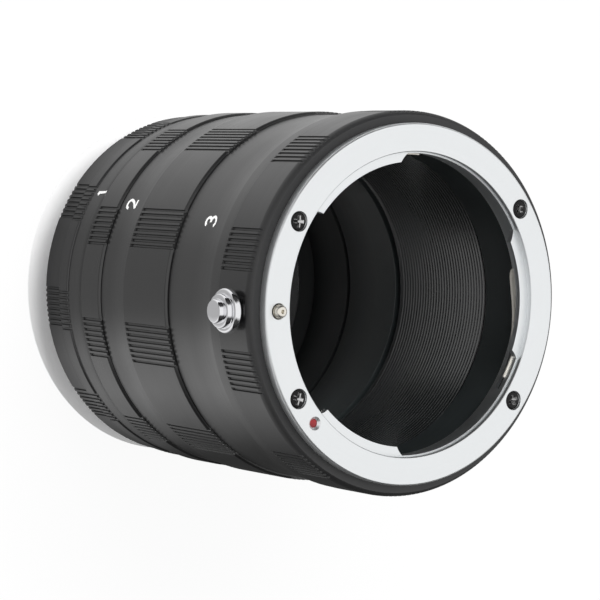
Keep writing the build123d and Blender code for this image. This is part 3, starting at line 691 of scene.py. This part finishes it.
def lens_plate_skin():
    """Bright female bayonet with broken edges"""
    tab_top = FRONT_Z - TAB_DROP
    tab_low = tab_top - TAB_H
    plate = ring_outline(plate_outline(tab_top, tab_low), PLATE_COLUMNS, "lens_plate_skin")
    for outer, inner in zip(TAB_OUTER_DEG, TAB_INNER_DEG):
        boolean(plate, tab_prism(outer, inner, tab_low, tab_top), "UNION")
    cutters = [screw_cutter(a, False) for a in LENS_SCREW_DEG]
    cutters += [pin_hole_cutter(), dot_hole_cutter()]
    boolean(plate, joined(cutters, "cutters"), "DIFFERENCE")
    windows = []
    for start, _ in TAB_INNER_DEG:
        span = (start + WINDOW_DEG[0], start + WINDOW_DEG[1])
        windows.append(arc_block(*WINDOW_R, tab_low - WINDOW_H, tab_low, *span))
    boolean(plate, joined(windows, "windows"), "DIFFERENCE")
    shade(plate)
    return plate


def cross_cutter():
    """Tapered cross recess"""
    parts = []
    for axis in (0, 1):
        verts = []
        for z, length, width in CROSS_LEVELS:
            for sx, sy in ((-1, -1), (1, -1), (1, 1), (-1, 1)):
                across = (sx * length, sy * width) if axis == 0 else (sx * width, sy * length)
                verts.append((*across, z))
        faces = [(0, 1, 2, 3), (11, 10, 9, 8)]
        for a in (0, 4):
            faces += [(a + i, a + 4 + i, a + 4 + (i + 1) % 4, a + (i + 1) % 4) for i in range(4)]
        parts.append(new_object("cross", verts, faces))
    boolean(parts[0], parts[1], "UNION")
    return parts[0]


def screw_mesh(length):
    """Cross-head countersunk screw about its own axis"""
    outline = list(HEAD_DOME)
    z = -1.0
    while z > -length + 0.4:
        outline += [(SHANK_R, z), (SHANK_ROOT_R, z - SCREW_THREAD_PITCH / 2)]
        z -= SCREW_THREAD_PITCH
    outline += [(SHANK_R, z), (SHANK_R, -length + 0.1), (SHANK_R - 0.1, -length), (0, -length)]
    obj = turned_piece("screw", outline, SCREW_COLUMNS)
    boolean(obj, cross_cutter(), "DIFFERENCE")
    shade(obj)
    return obj


def in_recess(face):
    """True for the walls of the cross, where the driver has rubbed the black away"""
    x, y, z = face.center / MM
    return RECESS_Z[0] < z < RECESS_Z[1] and math.hypot(x, y) < RECESS_R and abs(face.normal.z) < 0.9


def place_screws():
    """The eight mount screws"""
    for angles, prefix, body, flip, length in (
        (LENS_SCREW_DEG, "lens_mount_screw", "lens_end", False, LENS_SCREW_L),
        (CAMERA_SCREW_DEG, "camera_mount_screw", "camera_end", True, CAMERA_SCREW_L),
    ):
        master = screw_mesh(length)
        recess = [1 if in_recess(face) else 0 for face in master.data.polygons]
        for k, degrees in enumerate(angles):
            own_turn = math.radians(SCREW_TURN_DEG * k + SCREW_FIRST_DEG)
            place = screw_place(degrees, flip) @ Matrix.Rotation(own_turn, 4, "Z")
            place.translation *= MM
            mesh = master.data.copy()
            mesh.transform(place)
            obj = bpy.data.objects.new(f"{prefix}_{k + 1}_head", mesh)
            bpy.context.scene.collection.objects.link(obj)
            dress(obj, body, "black_screw", screw_black, f"{prefix}_{k + 1}")
            obj.data.materials.append(screw_worn)
            obj.data.polygons.foreach_set("material_index", recess)
        bpy.data.objects.remove(master, do_unlink=True)


def knob_piece():
    """Turned release knob: collar, rounded disc, tier and cap, with a socket for the stem"""
    foot = LENS_RING_R + KNOB_GAP
    disc, disc_top = foot + COLLAR_H, foot + DISC_TOP
    tier_top = disc_top + TIER_H
    end = tier_top + CAP_H
    floor = foot + STEM_DEPTH
    points = [(0, floor), (STEM_R, floor), (STEM_R, foot)]
    points += [(COLLAR_R - 0.05, foot), (COLLAR_R, foot + 0.05), (COLLAR_R, disc)]
    turns = [math.pi / 2 * k / 8 for k in range(9)]
    middle, q = DISC_R - DISC_ROUND, DISC_ROUND
    points += [(middle + q * math.sin(t), disc + q - q * math.cos(t)) for t in turns]
    points += [(middle + q * math.cos(t), disc_top - q + q * math.sin(t)) for t in turns]
    points += [(TIER_R + 0.08, disc_top), (TIER_R, disc_top + 0.05), (TIER_R, tier_top - 0.22)]
    points += [(TIER_R - 0.03, tier_top - 0.14), (TIER_R - 0.14, tier_top - 0.03), (TIER_R - 0.22, tier_top)]
    points += [(CAP_R + 0.07, tier_top), (CAP_R, tier_top + 0.06), (CAP_R, end - 0.22)]
    points += [(CAP_R - 0.03, end - 0.15), (CAP_R - 0.15, end - 0.03), (CAP_R - 0.23, end)]
    points += [(0.4, end - 0.01), (0, end - CAP_DOME)]
    return turned_piece("knob_turned", points, KNOB_COLUMNS, release_axis(), 26.0)


def pin_piece():
    """Lock pin with a rounded nose and a dimple in it"""
    low, top = KNOB_Z - PIN_FOOT, FRONT_Z + PIN_PROUD
    points = [(r, top - down) for r, down in PIN_NOSE]
    points += [(PIN_NOSE_R, FRONT_Z), (PIN_R, FRONT_Z), (PIN_R, low + PIN_FOOT_BREAK)]
    points += [(PIN_R - PIN_FOOT_BREAK, low), (0, low)]
    pin_place = at_pitch(SCREW_PITCH_R, RELEASE_DEG, 0.0)
    pin = turned_piece("lock_pin_turned", points, SCREW_COLUMNS, pin_place)
    stem = rod(STEM_R, SCREW_PITCH_R, SCREW_PITCH_R + STEM_CUT, SMALL_COLUMNS, release_axis())
    boolean(pin, stem, "DIFFERENCE")
    shade(pin)
    return pin


def spring_piece():
    """Coil spring under the pin: seven turns, the end turns closed"""
    coil_r = PIN_BORE_R - SPRING_CLEARANCE - SPRING_WIRE_R
    low = SPRING_FOOT_Z + SPRING_WIRE_R
    rise = SPRING_L - 2 * SPRING_WIRE_R
    steps = SPRING_TURNS * SPRING_STEPS
    sides = SPRING_SIDES
    verts = []
    for k in range(steps + 1):
        turn = 2 * math.pi * k / SPRING_STEPS
        share = (k / SPRING_STEPS - SPRING_CLOSED) / (SPRING_TURNS - 2 * SPRING_CLOSED)
        z = low + rise * min(1.0, max(0.0, share))
        for j in range(sides):
            wire_turn = 2 * math.pi * j / sides
            r = coil_r + SPRING_WIRE_R * math.cos(wire_turn)
            height = z + SPRING_WIRE_R * math.sin(wire_turn)
            verts.append((r * math.cos(turn), r * math.sin(turn), height))
    faces = []
    for k in range(steps):
        a, b = k * sides, (k + 1) * sides
        faces += [(a + j, b + j, b + (j + 1) % sides, a + (j + 1) % sides) for j in range(sides)]
    faces.append(tuple(range(sides)))
    faces.append(tuple(range(steps * sides + sides - 1, steps * sides - 1, -1)))
    place = np.array(at_pitch(SCREW_PITCH_R, RELEASE_DEG, 0.0).translation)
    return new_object("pin_spring_coil", np.array(verts) + place, faces, 50.0)


def dot_piece():
    """Domed pool of red paint in the dot's hole"""
    floor = FRONT_Z - DOT_DEPTH
    level = floor + POOL_H
    rim_r = POOL_DOME[-1][0]
    points = [(r, level + up) for r, up in POOL_DOME] + [(rim_r, floor), (0, floor)]
    return turned_piece("dot_pool", points, SMALL_COLUMNS, at_pitch(DOT_PITCH_R, DOT_DEG, 0.0))


def tree(name):
    """New material with its nodes, links and shader"""
    mat = bpy.data.materials.new(name)
    mat.use_nodes = True
    nt = mat.node_tree
    return mat, nt, nt.nodes["Principled BSDF"]


def math_node(nt, operation, first, second=None):
    """Result of a math node on one or two values or sockets"""
    made = nt.nodes.new("ShaderNodeMath")
    made.operation = operation
    for slot_no, value in enumerate((first, second)):
        if value is None:
            continue
        if hasattr(value, "links"):
            nt.links.new(value, made.inputs[slot_no])
        else:
            made.inputs[slot_no].default_value = value
    return made.outputs[0]


def times(nt, first, second):
    """Product of two values or sockets"""
    return math_node(nt, "MULTIPLY", first, second)


def plus(nt, first, second):
    """Sum of two values or sockets"""
    return math_node(nt, "ADD", first, second)


def ramp(nt, source, low, high, out_low, out_high):
    """Straight ramp between two limits, level beyond them"""
    made = nt.nodes.new("ShaderNodeMapRange")
    made.inputs["From Min"].default_value = low
    made.inputs["From Max"].default_value = high
    made.inputs["To Min"].default_value = out_low
    made.inputs["To Max"].default_value = out_high
    nt.links.new(source, made.inputs["Value"])
    return made.outputs["Result"]


def place_parts(nt):
    """Object coordinates with the radius from the optical axis, the turn around it and the height"""
    coords = nt.nodes.new("ShaderNodeTexCoord").outputs["Object"]
    split = nt.nodes.new("ShaderNodeSeparateXYZ")
    nt.links.new(coords, split.inputs[0])
    x, y, z = split.outputs
    radius = math_node(nt, "SQRT", plus(nt, times(nt, x, x), times(nt, y, y)))
    turn = math_node(nt, "ARCTAN2", y, x)
    return coords, radius, turn, z


def noise_on(nt, vector, scale, detail=3.0, rough=0.55):
    """Noise of about 0 to 1 over a vector"""
    made = nt.nodes.new("ShaderNodeTexNoise")
    made.inputs["Scale"].default_value = scale
    made.inputs["Detail"].default_value = detail
    made.inputs["Roughness"].default_value = rough
    nt.links.new(vector, made.inputs["Vector"])
    return made.outputs["Fac"]


def stretched(nt, a, b, c, ka, kb, kc):
    """Vector of three values, each scaled"""
    made = nt.nodes.new("ShaderNodeCombineXYZ")
    for slot_no, (value, k) in enumerate(((a, ka), (b, kb), (c, kc))):
        nt.links.new(times(nt, value, k), made.inputs[slot_no])
    return made.outputs[0]


def bump(nt, height, distance, strength, shader):
    """Fine relief, its distance in m"""
    made = nt.nodes.new("ShaderNodeBump")
    made.inputs["Strength"].default_value = strength
    made.inputs["Distance"].default_value = distance
    nt.links.new(height, made.inputs["Height"])
    nt.links.new(made.outputs["Normal"], shader.inputs["Normal"])


def mixed(nt, fac, low, high):
    """Colour between two colours"""
    made = nt.nodes.new("ShaderNodeMix")
    made.data_type = "RGBA"
    made.inputs["A"].default_value = (*low, 1)
    made.inputs["B"].default_value = (*high, 1)
    nt.links.new(fac, made.inputs["Factor"])
    return made.outputs["Result"]


# The black in the bore: its tone, where it changes, in m of height and radius, and how dull it is in each
# zone, and the painted light and shade that scales its tone: lighter on the smooth walls, darker on the light
# trap, in the lens ring's bore and deep down the bore, where shade falls
BORE_TONE = (0.0135, 0.0165, 0.017)
TRAP_LOW, TRAP_HIGH = 0.0329, 0.0552
DEEP_LOW, DEEP_HIGH = 0.018, 0.026
VALLEY_LOW, VALLEY_HIGH = 0.02508, 0.0252
SMOOTH_SHADE, TRAP_SHADE, DEEP_PAINTED_SHADE, LENS_SHADE, MOST_SHADE = 1.7, 0.4, 0.3, 0.65, 3.0
VALLEY_DULL, DEEP_DULL = 0.45, 0.25
TRAP_FADE = (0.036, 0.052, 0.22, -0.02)
CLOUDS = (0.25, 0.75, 0.75, 1.35)
SPREAD = 0.09
SHOULDER_DULL = 0.24


def bore_painted_shade(nt, z, ridged, outside):
    """Painted light and shade in the bore: how much lighter or darker than its tone the black is made, by
    depth in the bore, 1 outside
    """
    depth = ramp(nt, ridged, 0.0, 1.0, SMOOTH_SHADE, TRAP_SHADE)
    # Painted shade: darker deep down the bore, towards the camera end
    depth = times(nt, depth, ramp(nt, z, DEEP_LOW, DEEP_HIGH, DEEP_PAINTED_SHADE, 1.0))
    depth = times(nt, depth, ramp(nt, z, TRAP_HIGH - 0.0001, TRAP_HIGH + 0.0001, 1.0, LENS_SHADE))
    depth = math_node(nt, "MAXIMUM", depth, outside)
    return math_node(nt, "MINIMUM", depth, ramp(nt, outside, 0.0, 1.0, MOST_SHADE, 1.0))


def bore_roughness(nt, radius, z, ridged, inner_rough):
    """Roughness in the bore: duller in the valleys of the light trap and far down"""
    valley = ramp(nt, radius, VALLEY_LOW, VALLEY_HIGH, 0.0, VALLEY_DULL)
    fade = times(nt, ridged, plus(nt, valley, ramp(nt, z, *TRAP_FADE)))
    return plus(nt, plus(nt, fade, inner_rough), ramp(nt, z, DEEP_LOW, DEEP_HIGH, DEEP_DULL, 0.0))


def anodised(name, tone, rough, ior=1.6, inner_rough=0.3, bore_r=0.0, dull_from=1.0):
    """Black anodising with fine grain and faint turning lines, duller above dull_from.

    Within bore_r it has the bore's own tone, painted shade and roughness.
    """
    mat, nt, shader = tree(name)
    coords, radius, turn, z = place_parts(nt)
    grain = noise_on(nt, coords, 9000.0, 2.0, 0.6)
    cloud = noise_on(nt, coords, 90.0, 3.0, 0.5)
    lines = noise_on(nt, stretched(nt, z, turn, radius, 2600.0, 0.5, 2600.0), 1.0, 2.0, 0.5)
    outside = ramp(nt, radius, bore_r - 0.0001, bore_r, 0.0, 1.0)
    above = math_node(nt, "GREATER_THAN", z, TRAP_LOW)
    ridged = times(nt, above, math_node(nt, "LESS_THAN", z, TRAP_HIGH))
    tint = nt.nodes.new("ShaderNodeVectorMath")
    tint.operation = "SCALE"
    nt.links.new(mixed(nt, outside, BORE_TONE, tone), tint.inputs[0])
    # Painted shade: besides random clouds, the bore's tone is made darker deep down and on the light trap,
    # and lighter on the smooth walls
    painted_shade_level = times(nt, ramp(nt, cloud, *CLOUDS), bore_painted_shade(nt, z, ridged, outside))
    nt.links.new(painted_shade_level, tint.inputs["Scale"])
    nt.links.new(tint.outputs[0], shader.inputs["Base Color"])
    marks = plus(nt, times(nt, lines, 0.5), times(nt, grain, 0.5))
    spread = ramp(nt, plus(nt, marks, cloud), 0.6, 1.4, -SPREAD, SPREAD)
    skin = ramp(nt, z, dull_from, dull_from + 0.0003, rough, rough + SHOULDER_DULL)
    deep = bore_roughness(nt, radius, z, ridged, inner_rough)
    inside = math_node(nt, "SUBTRACT", 1.0, outside)
    level = plus(nt, times(nt, outside, skin), times(nt, inside, deep))
    nt.links.new(plus(nt, level, spread), shader.inputs["Roughness"])
    bump(nt, marks, 0.000004, 0.35, shader)
    shader.inputs["IOR"].default_value = ior
    return mat


def turned_metal(name, tone, rough, line_scale, depth, spread=0.06, strength=0.4):
    """Bare metal with fine concentric turning marks"""
    mat, nt, shader = tree(name)
    coords, radius, turn, z = place_parts(nt)
    lines = noise_on(nt, stretched(nt, radius, turn, z, line_scale, 0.35, line_scale), 1.0, 3.0, 0.6)
    cloud = noise_on(nt, coords, 160.0, 4.0, 0.6)
    specks = noise_on(nt, coords, 2600.0, 2.0, 0.6)
    darker = tuple(0.965 * t for t in tone)
    nt.links.new(mixed(nt, ramp(nt, cloud, 0.3, 0.7, 0.0, 1.0), darker, tone), shader.inputs["Base Color"])
    marks = plus(nt, times(nt, lines, 0.6), times(nt, cloud, 0.4))
    nt.links.new(ramp(nt, marks, 0.3, 0.7, rough - spread, rough + spread), shader.inputs["Roughness"])
    bump(nt, plus(nt, lines, times(nt, specks, 0.3)), depth, strength, shader)
    shader.inputs["Metallic"].default_value = 1.0
    return mat


def brushed(name, tone, rough, metallic=1.0):
    """Steel with fine marks along one direction"""
    mat, nt, shader = tree(name)
    coords, radius, turn, z = place_parts(nt)
    lines = noise_on(nt, stretched(nt, z, radius, turn, 5000.0, 5000.0, 6.0), 1.0, 3.0, 0.6)
    cloud = noise_on(nt, coords, 400.0, 3.0, 0.6)
    darker = tuple(0.85 * t for t in tone)
    nt.links.new(mixed(nt, cloud, darker, tone), shader.inputs["Base Color"])
    nt.links.new(ramp(nt, lines, 0.3, 0.7, rough - 0.07, rough + 0.09), shader.inputs["Roughness"])
    bump(nt, lines, 0.000003, 0.5, shader)
    shader.inputs["Metallic"].default_value = metallic
    return mat


def painted(name, low, high, rough, scale, depth, coat=0.0):
    """Filled paint with slight mottling"""
    mat, nt, shader = tree(name)
    coords = nt.nodes.new("ShaderNodeTexCoord").outputs["Object"]
    mottle = noise_on(nt, coords, scale, 4.0, 0.6)
    nt.links.new(mixed(nt, mottle, low, high), shader.inputs["Base Color"])
    nt.links.new(ramp(nt, mottle, 0.3, 0.7, rough - 0.05, rough + 0.08), shader.inputs["Roughness"])
    bump(nt, mottle, depth, 0.5, shader)
    shader.inputs["Coat Weight"].default_value = coat
    shader.inputs["Coat Roughness"].default_value = 0.06
    return mat


def dress(obj, body, slot_name, material, *replaced):
    """Gives a finished piece its material and body, and hides the nodes it stands for"""
    obj.data.materials.clear()
    obj.data.materials.append(material)
    even = obj.modifiers.new("even_normals", "WEIGHTED_NORMAL")
    even.mode = "FACE_AREA"
    even.weight = 90
    even.keep_sharp = True
    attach(obj, body)
    if replaced:
        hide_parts(*replaced)
    return obj


def use_material(name, material):
    """Gives a carried-over CAD node its finish"""
    obj = nodes[name]
    for slot_item in obj.material_slots:
        slot_item.material = material
    return obj


# Outer radius of the bore's own tone, roughness and painted shade, in m, and the height from which the lens
# ring is duller
BORE_ZONE_R = 0.0262
SHOULDER_Z = 0.0654

BLACK_TONE = (0.0065, 0.0065, 0.0067)
RING_TONE = (0.006, 0.006, 0.0065)
SCREW_TONE = (0.0025, 0.0025, 0.0027)
REAR_TONE = (0.80, 0.80, 0.81)
CHROME_TONE = (0.82, 0.82, 0.84)
WHITE_TONES = (0.86, 0.86, 0.85), (0.95, 0.95, 0.94)
RED_TONES = (0.10, 0.003, 0.006), (0.30, 0.008, 0.012)
black = anodised("barrel_black", BLACK_TONE, rough=0.34, ior=1.74, inner_rough=0.4, bore_r=BORE_ZONE_R)
ring_black = anodised(
    "ring_black", RING_TONE, rough=0.34, ior=1.72, inner_rough=0.4, bore_r=BORE_ZONE_R, dull_from=SHOULDER_Z
)
ridged_black = anodised("ridged_black", BLACK_TONE, rough=0.36, ior=1.84, inner_rough=0.13, bore_r=BORE_ZONE_R)
silver = turned_metal("plate_silver", (0.885, 0.905, 0.915), rough=0.42, line_scale=14000.0, depth=0.0000025)
rear_silver = turned_metal("rear_plate_silver", REAR_TONE, rough=0.24, line_scale=12000.0, depth=0.000003)
chrome = turned_metal(
    "knob_chrome", CHROME_TONE, rough=0.06, line_scale=9000.0, depth=0.000001, spread=0.03, strength=0.25
)
screw_black = anodised("screw_black", SCREW_TONE, rough=0.12, ior=1.3)
screw_worn = brushed("screw_recess", (0.7, 0.7, 0.7), rough=0.16)
spring_steel = brushed("leaf_steel", (0.93, 0.89, 0.82), rough=0.4, metallic=0.5)
pin_steel = brushed("pin_steel", (0.88, 0.84, 0.76), rough=0.3)
coil_steel = brushed("coil_steel", (0.55, 0.55, 0.56), rough=0.30)
white_paint = painted("numeral_white", *WHITE_TONES, rough=0.5, scale=4000.0, depth=0.000006)
red_paint = painted("dot_red", *RED_TONES, rough=0.3, scale=900.0, depth=0.000004, coat=0.12)

dress(camera_ring_skin(), "camera_end", "black_anodised", ring_black, "camera_ring")
dress(lock_ring_skin(), "first_tube", "black_anodised", ring_black, "lock_ring")
dress(tube_1_skin(), "first_tube", "black_anodised", black, "tube_1")
dress(tube_2_skin(), "second_tube", "black_anodised", black, "tube_2")
dress(tube_3_skin(), "third_tube", "black_anodised", ridged_black, "tube_3")
dress(lens_ring_skin(), "lens_end", "black_anodised", ring_black, "lens_ring")
dress(lens_plate_skin(), "lens_end", "mount_metal", silver, "lens_mount_plate")
place_screws()
dress(knob_piece(), "lens_release", "polished_chrome", chrome, "release_knob")
dress(pin_piece(), "lens_release", "pin_steel", pin_steel, "lock_pin")
dress(dot_piece(), "lens_end", "red_fill", red_paint, "index_dot")
spring = dress(spring_piece(), "lens_end", "spring_steel", coil_steel, "pin_spring")
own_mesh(spring)

use_material("camera_mount_plate", rear_silver)
use_material("knob_stem", pin_steel)
for k in (1, 2, 3):
    use_material(f"leaf_spring_{k}", spring_steel)
    numeral = use_material(f"numeral_{k}", white_paint)
    lift = numeral.modifiers.new("lift", "DISPLACE")
    lift.strength = 0.03 * MM
    lift.mid_level = 0.0

# The floor as reflections find it, with painted light: its own level and what each painted patch adds to it
# or takes away, as the patch's turn around the object, half its width, its soft edge and its change, in
# degrees. There are no
# cards: the light patches are painted light and the dark one painted shade. Below and above are as the camera
# sees them.
FLOOR_LEVEL = 0.47
PAINTED_LIGHT_BELOW = (-141.0, 10.0, 18.0, 0.53)
PAINTED_LIGHT_ABOVE = (105.0, 18.0, 35.0, 0.53)
PAINTED_GREY_BEHIND = (30.0, 30.0, 40.0, 0.28)
PAINTED_SHADE_PATCH = (-70.0, 22.0, 22.0, -0.42)
PAINTED_PATCHES = (PAINTED_LIGHT_BELOW, PAINTED_LIGHT_ABOVE, PAINTED_GREY_BEHIND, PAINTED_SHADE_PATCH)
FLOOR_TONE = (0.86, 0.86, 0.86, 1)
# Share of the floor's glow as the camera sees it, and what reflections see beyond that
GLOW_SHARE = 0.92
GLOW_MORE = 0.04
# Radii in m: within the first the floor has no glow of its own, and up to the last its glow is dimmed, a
# painted shadow round the object's foot
FOOTPRINT_R = 0.029
PAINTED_SHADOW_R = (0.030, 0.036)
PAINTED_SHADOW_LEVEL = 0.25


def floor_painted_light(nt, radius, turn):
    """Strength of the floor in reflections, at most 1: painted patches of light and shade, and painted shadow
    near the object
    """
    level = FLOOR_LEVEL
    for centre, half, soft, change in PAINTED_PATCHES:
        off = math_node(nt, "SUBTRACT", turn, math.radians(centre))
        away = math_node(nt, "ARCCOSINE", math_node(nt, "COSINE", off))
        # Each patch adds painted light, or takes it away as painted shade
        painted_patch = ramp(nt, away, math.radians(half), math.radians(half + soft), change, 0.0)
        level = plus(nt, painted_patch, level)
    # Painted shadow: the glow is dimmed close to the object
    return times(nt, math_node(nt, "MINIMUM", level, 1.0), ramp(nt, radius, *PAINTED_SHADOW_R, PAINTED_SHADOW_LEVEL, 1.0))


def make_floor():
    """Pale floor that keeps the shadow; nearly white to the camera, with painted light and shade in
    reflections
    """
    bpy.ops.mesh.primitive_plane_add(size=6.0, location=(0, 0, 0))
    floor = bpy.context.object
    floor.name = "floor"
    mat, nt, shader = tree("floor_pale")
    shader.inputs["Base Color"].default_value = FLOOR_TONE
    shader.inputs["Roughness"].default_value = 0.9
    shader.inputs["Specular IOR Level"].default_value = 0.1
    _, radius, turn, _ = place_parts(nt)
    path = nt.nodes.new("ShaderNodeLightPath")
    mirrored = math_node(nt, "MAXIMUM", path.outputs["Is Glossy Ray"], path.outputs["Is Transmission Ray"])
    seen = math_node(nt, "MAXIMUM", path.outputs["Is Camera Ray"], mirrored)
    clear = math_node(nt, "GREATER_THAN", radius, FOOTPRINT_R)
    direct = math_node(nt, "SUBTRACT", 1.0, mirrored)
    glow = nt.nodes.new("ShaderNodeEmission")
    nt.links.new(plus(nt, direct, times(nt, mirrored, floor_painted_light(nt, radius, turn))), glow.inputs["Strength"])
    share = plus(nt, GLOW_SHARE, times(nt, mirrored, GLOW_MORE))
    mix = nt.nodes.new("ShaderNodeMixShader")
    nt.links.new(times(nt, times(nt, seen, share), clear), mix.inputs[0])
    nt.links.new(shader.outputs[0], mix.inputs[1])
    nt.links.new(glow.outputs[0], mix.inputs[2])
    nt.links.new(mix.outputs[0], nt.nodes["Material Output"].inputs["Surface"])
    floor.data.materials.append(mat)


# The world in reflections, each as two limits of the direction and the strengths at them
CEILING = (0.15, 0.5, 0.25, 1.0)
LOW_SIDE = (-0.64, -0.44, 0.06, 1.0)
HIGH_SIDE = (0.55, 0.7, 1.0, 0.06)
PLAIN_LIGHT = 0.8


def background(nt, strength):
    """White background of a strength that is a value or a socket"""
    made = nt.nodes.new("ShaderNodeBackground")
    made.inputs["Color"].default_value = (1, 1, 1, 1)
    if hasattr(strength, "links"):
        nt.links.new(strength, made.inputs["Strength"])
    else:
        made.inputs["Strength"].default_value = strength
    return made.outputs[0]


def chosen(nt, fac, first, second):
    """First shader where fac is 0, second where it is 1"""
    made = nt.nodes.new("ShaderNodeMixShader")
    nt.links.new(fac, made.inputs[0])
    nt.links.new(first, made.inputs[1])
    nt.links.new(second, made.inputs[2])
    return made.outputs[0]


def make_world():
    """White for the camera, and plain light for the rest.

    Reflections find a bright ceiling, a dimmer horizon and two dark sides.
    """
    world = bpy.data.worlds.new("studio")
    bpy.context.scene.world = world
    world.use_nodes = True
    nt = world.node_tree
    nt.nodes.clear()
    out = nt.nodes.new("ShaderNodeOutputWorld")
    path = nt.nodes.new("ShaderNodeLightPath")
    split = nt.nodes.new("ShaderNodeSeparateXYZ")
    nt.links.new(nt.nodes.new("ShaderNodeTexCoord").outputs["Generated"], split.inputs[0])
    _, y, z = split.outputs
    ceiling = ramp(nt, z, *CEILING)
    low_side = ramp(nt, y, *LOW_SIDE)
    high_side = ramp(nt, y, *HIGH_SIDE)
    mirrored = math_node(nt, "MAXIMUM", path.outputs["Is Glossy Ray"], path.outputs["Is Transmission Ray"])
    reflected = background(nt, times(nt, ceiling, times(nt, low_side, high_side)))
    light = chosen(nt, mirrored, background(nt, PLAIN_LIGHT), reflected)
    surface = chosen(nt, path.outputs["Is Camera Ray"], light, background(nt, 1.0))
    nt.links.new(surface, out.inputs["Surface"])


def lamp(name, place, target, size, power):
    """Square soft lamp that looks at a point"""
    data = bpy.data.lights.new(name, "AREA")
    data.size = size
    data.energy = power
    obj = bpy.data.objects.new(name, data)
    bpy.context.scene.collection.objects.link(obj)
    obj.visible_glossy = False
    obj.location = place
    away = Vector(place) - Vector(target)
    obj.rotation_euler = away.to_track_quat("Z", "Y").to_euler()
    return obj


# The camera's lens in mm on a 36 mm sensor, its place in mm and its axes
LENS_MM = 156.17
SENSOR_MM = 36.0
CAMERA_PLACE = Vector((-248.46, 17.98, 381.76))
CAMERA_RIGHT = Vector((0.810747, 0.032103, 0.584516))
CAMERA_UP = Vector((0.0, 0.998495, -0.054840))
CAMERA_BACK = Vector((-0.585397, 0.044461, 0.809527))


def camera():
    """Camera fitted to the photograph's circles and edges"""
    data = bpy.data.cameras.new("camera")
    data.sensor_fit = "HORIZONTAL"
    data.sensor_width = SENSOR_MM
    data.lens = LENS_MM
    data.clip_start = 0.01
    data.clip_end = 20.0
    obj = bpy.data.objects.new("camera", data)
    bpy.context.scene.collection.objects.link(obj)
    place = Matrix((CAMERA_RIGHT, CAMERA_UP, CAMERA_BACK)).transposed().to_4x4()
    place.translation = CAMERA_PLACE * MM
    obj.matrix_world = place
    bpy.context.scene.camera = obj


make_floor()
make_world()
lamp("sky_panel", place=(-0.05, 0.30, 0.50), target=(0, 0, 0.03), size=0.4, power=3.0)
camera()
bpy.context.scene.view_settings.view_transform = "Standard"
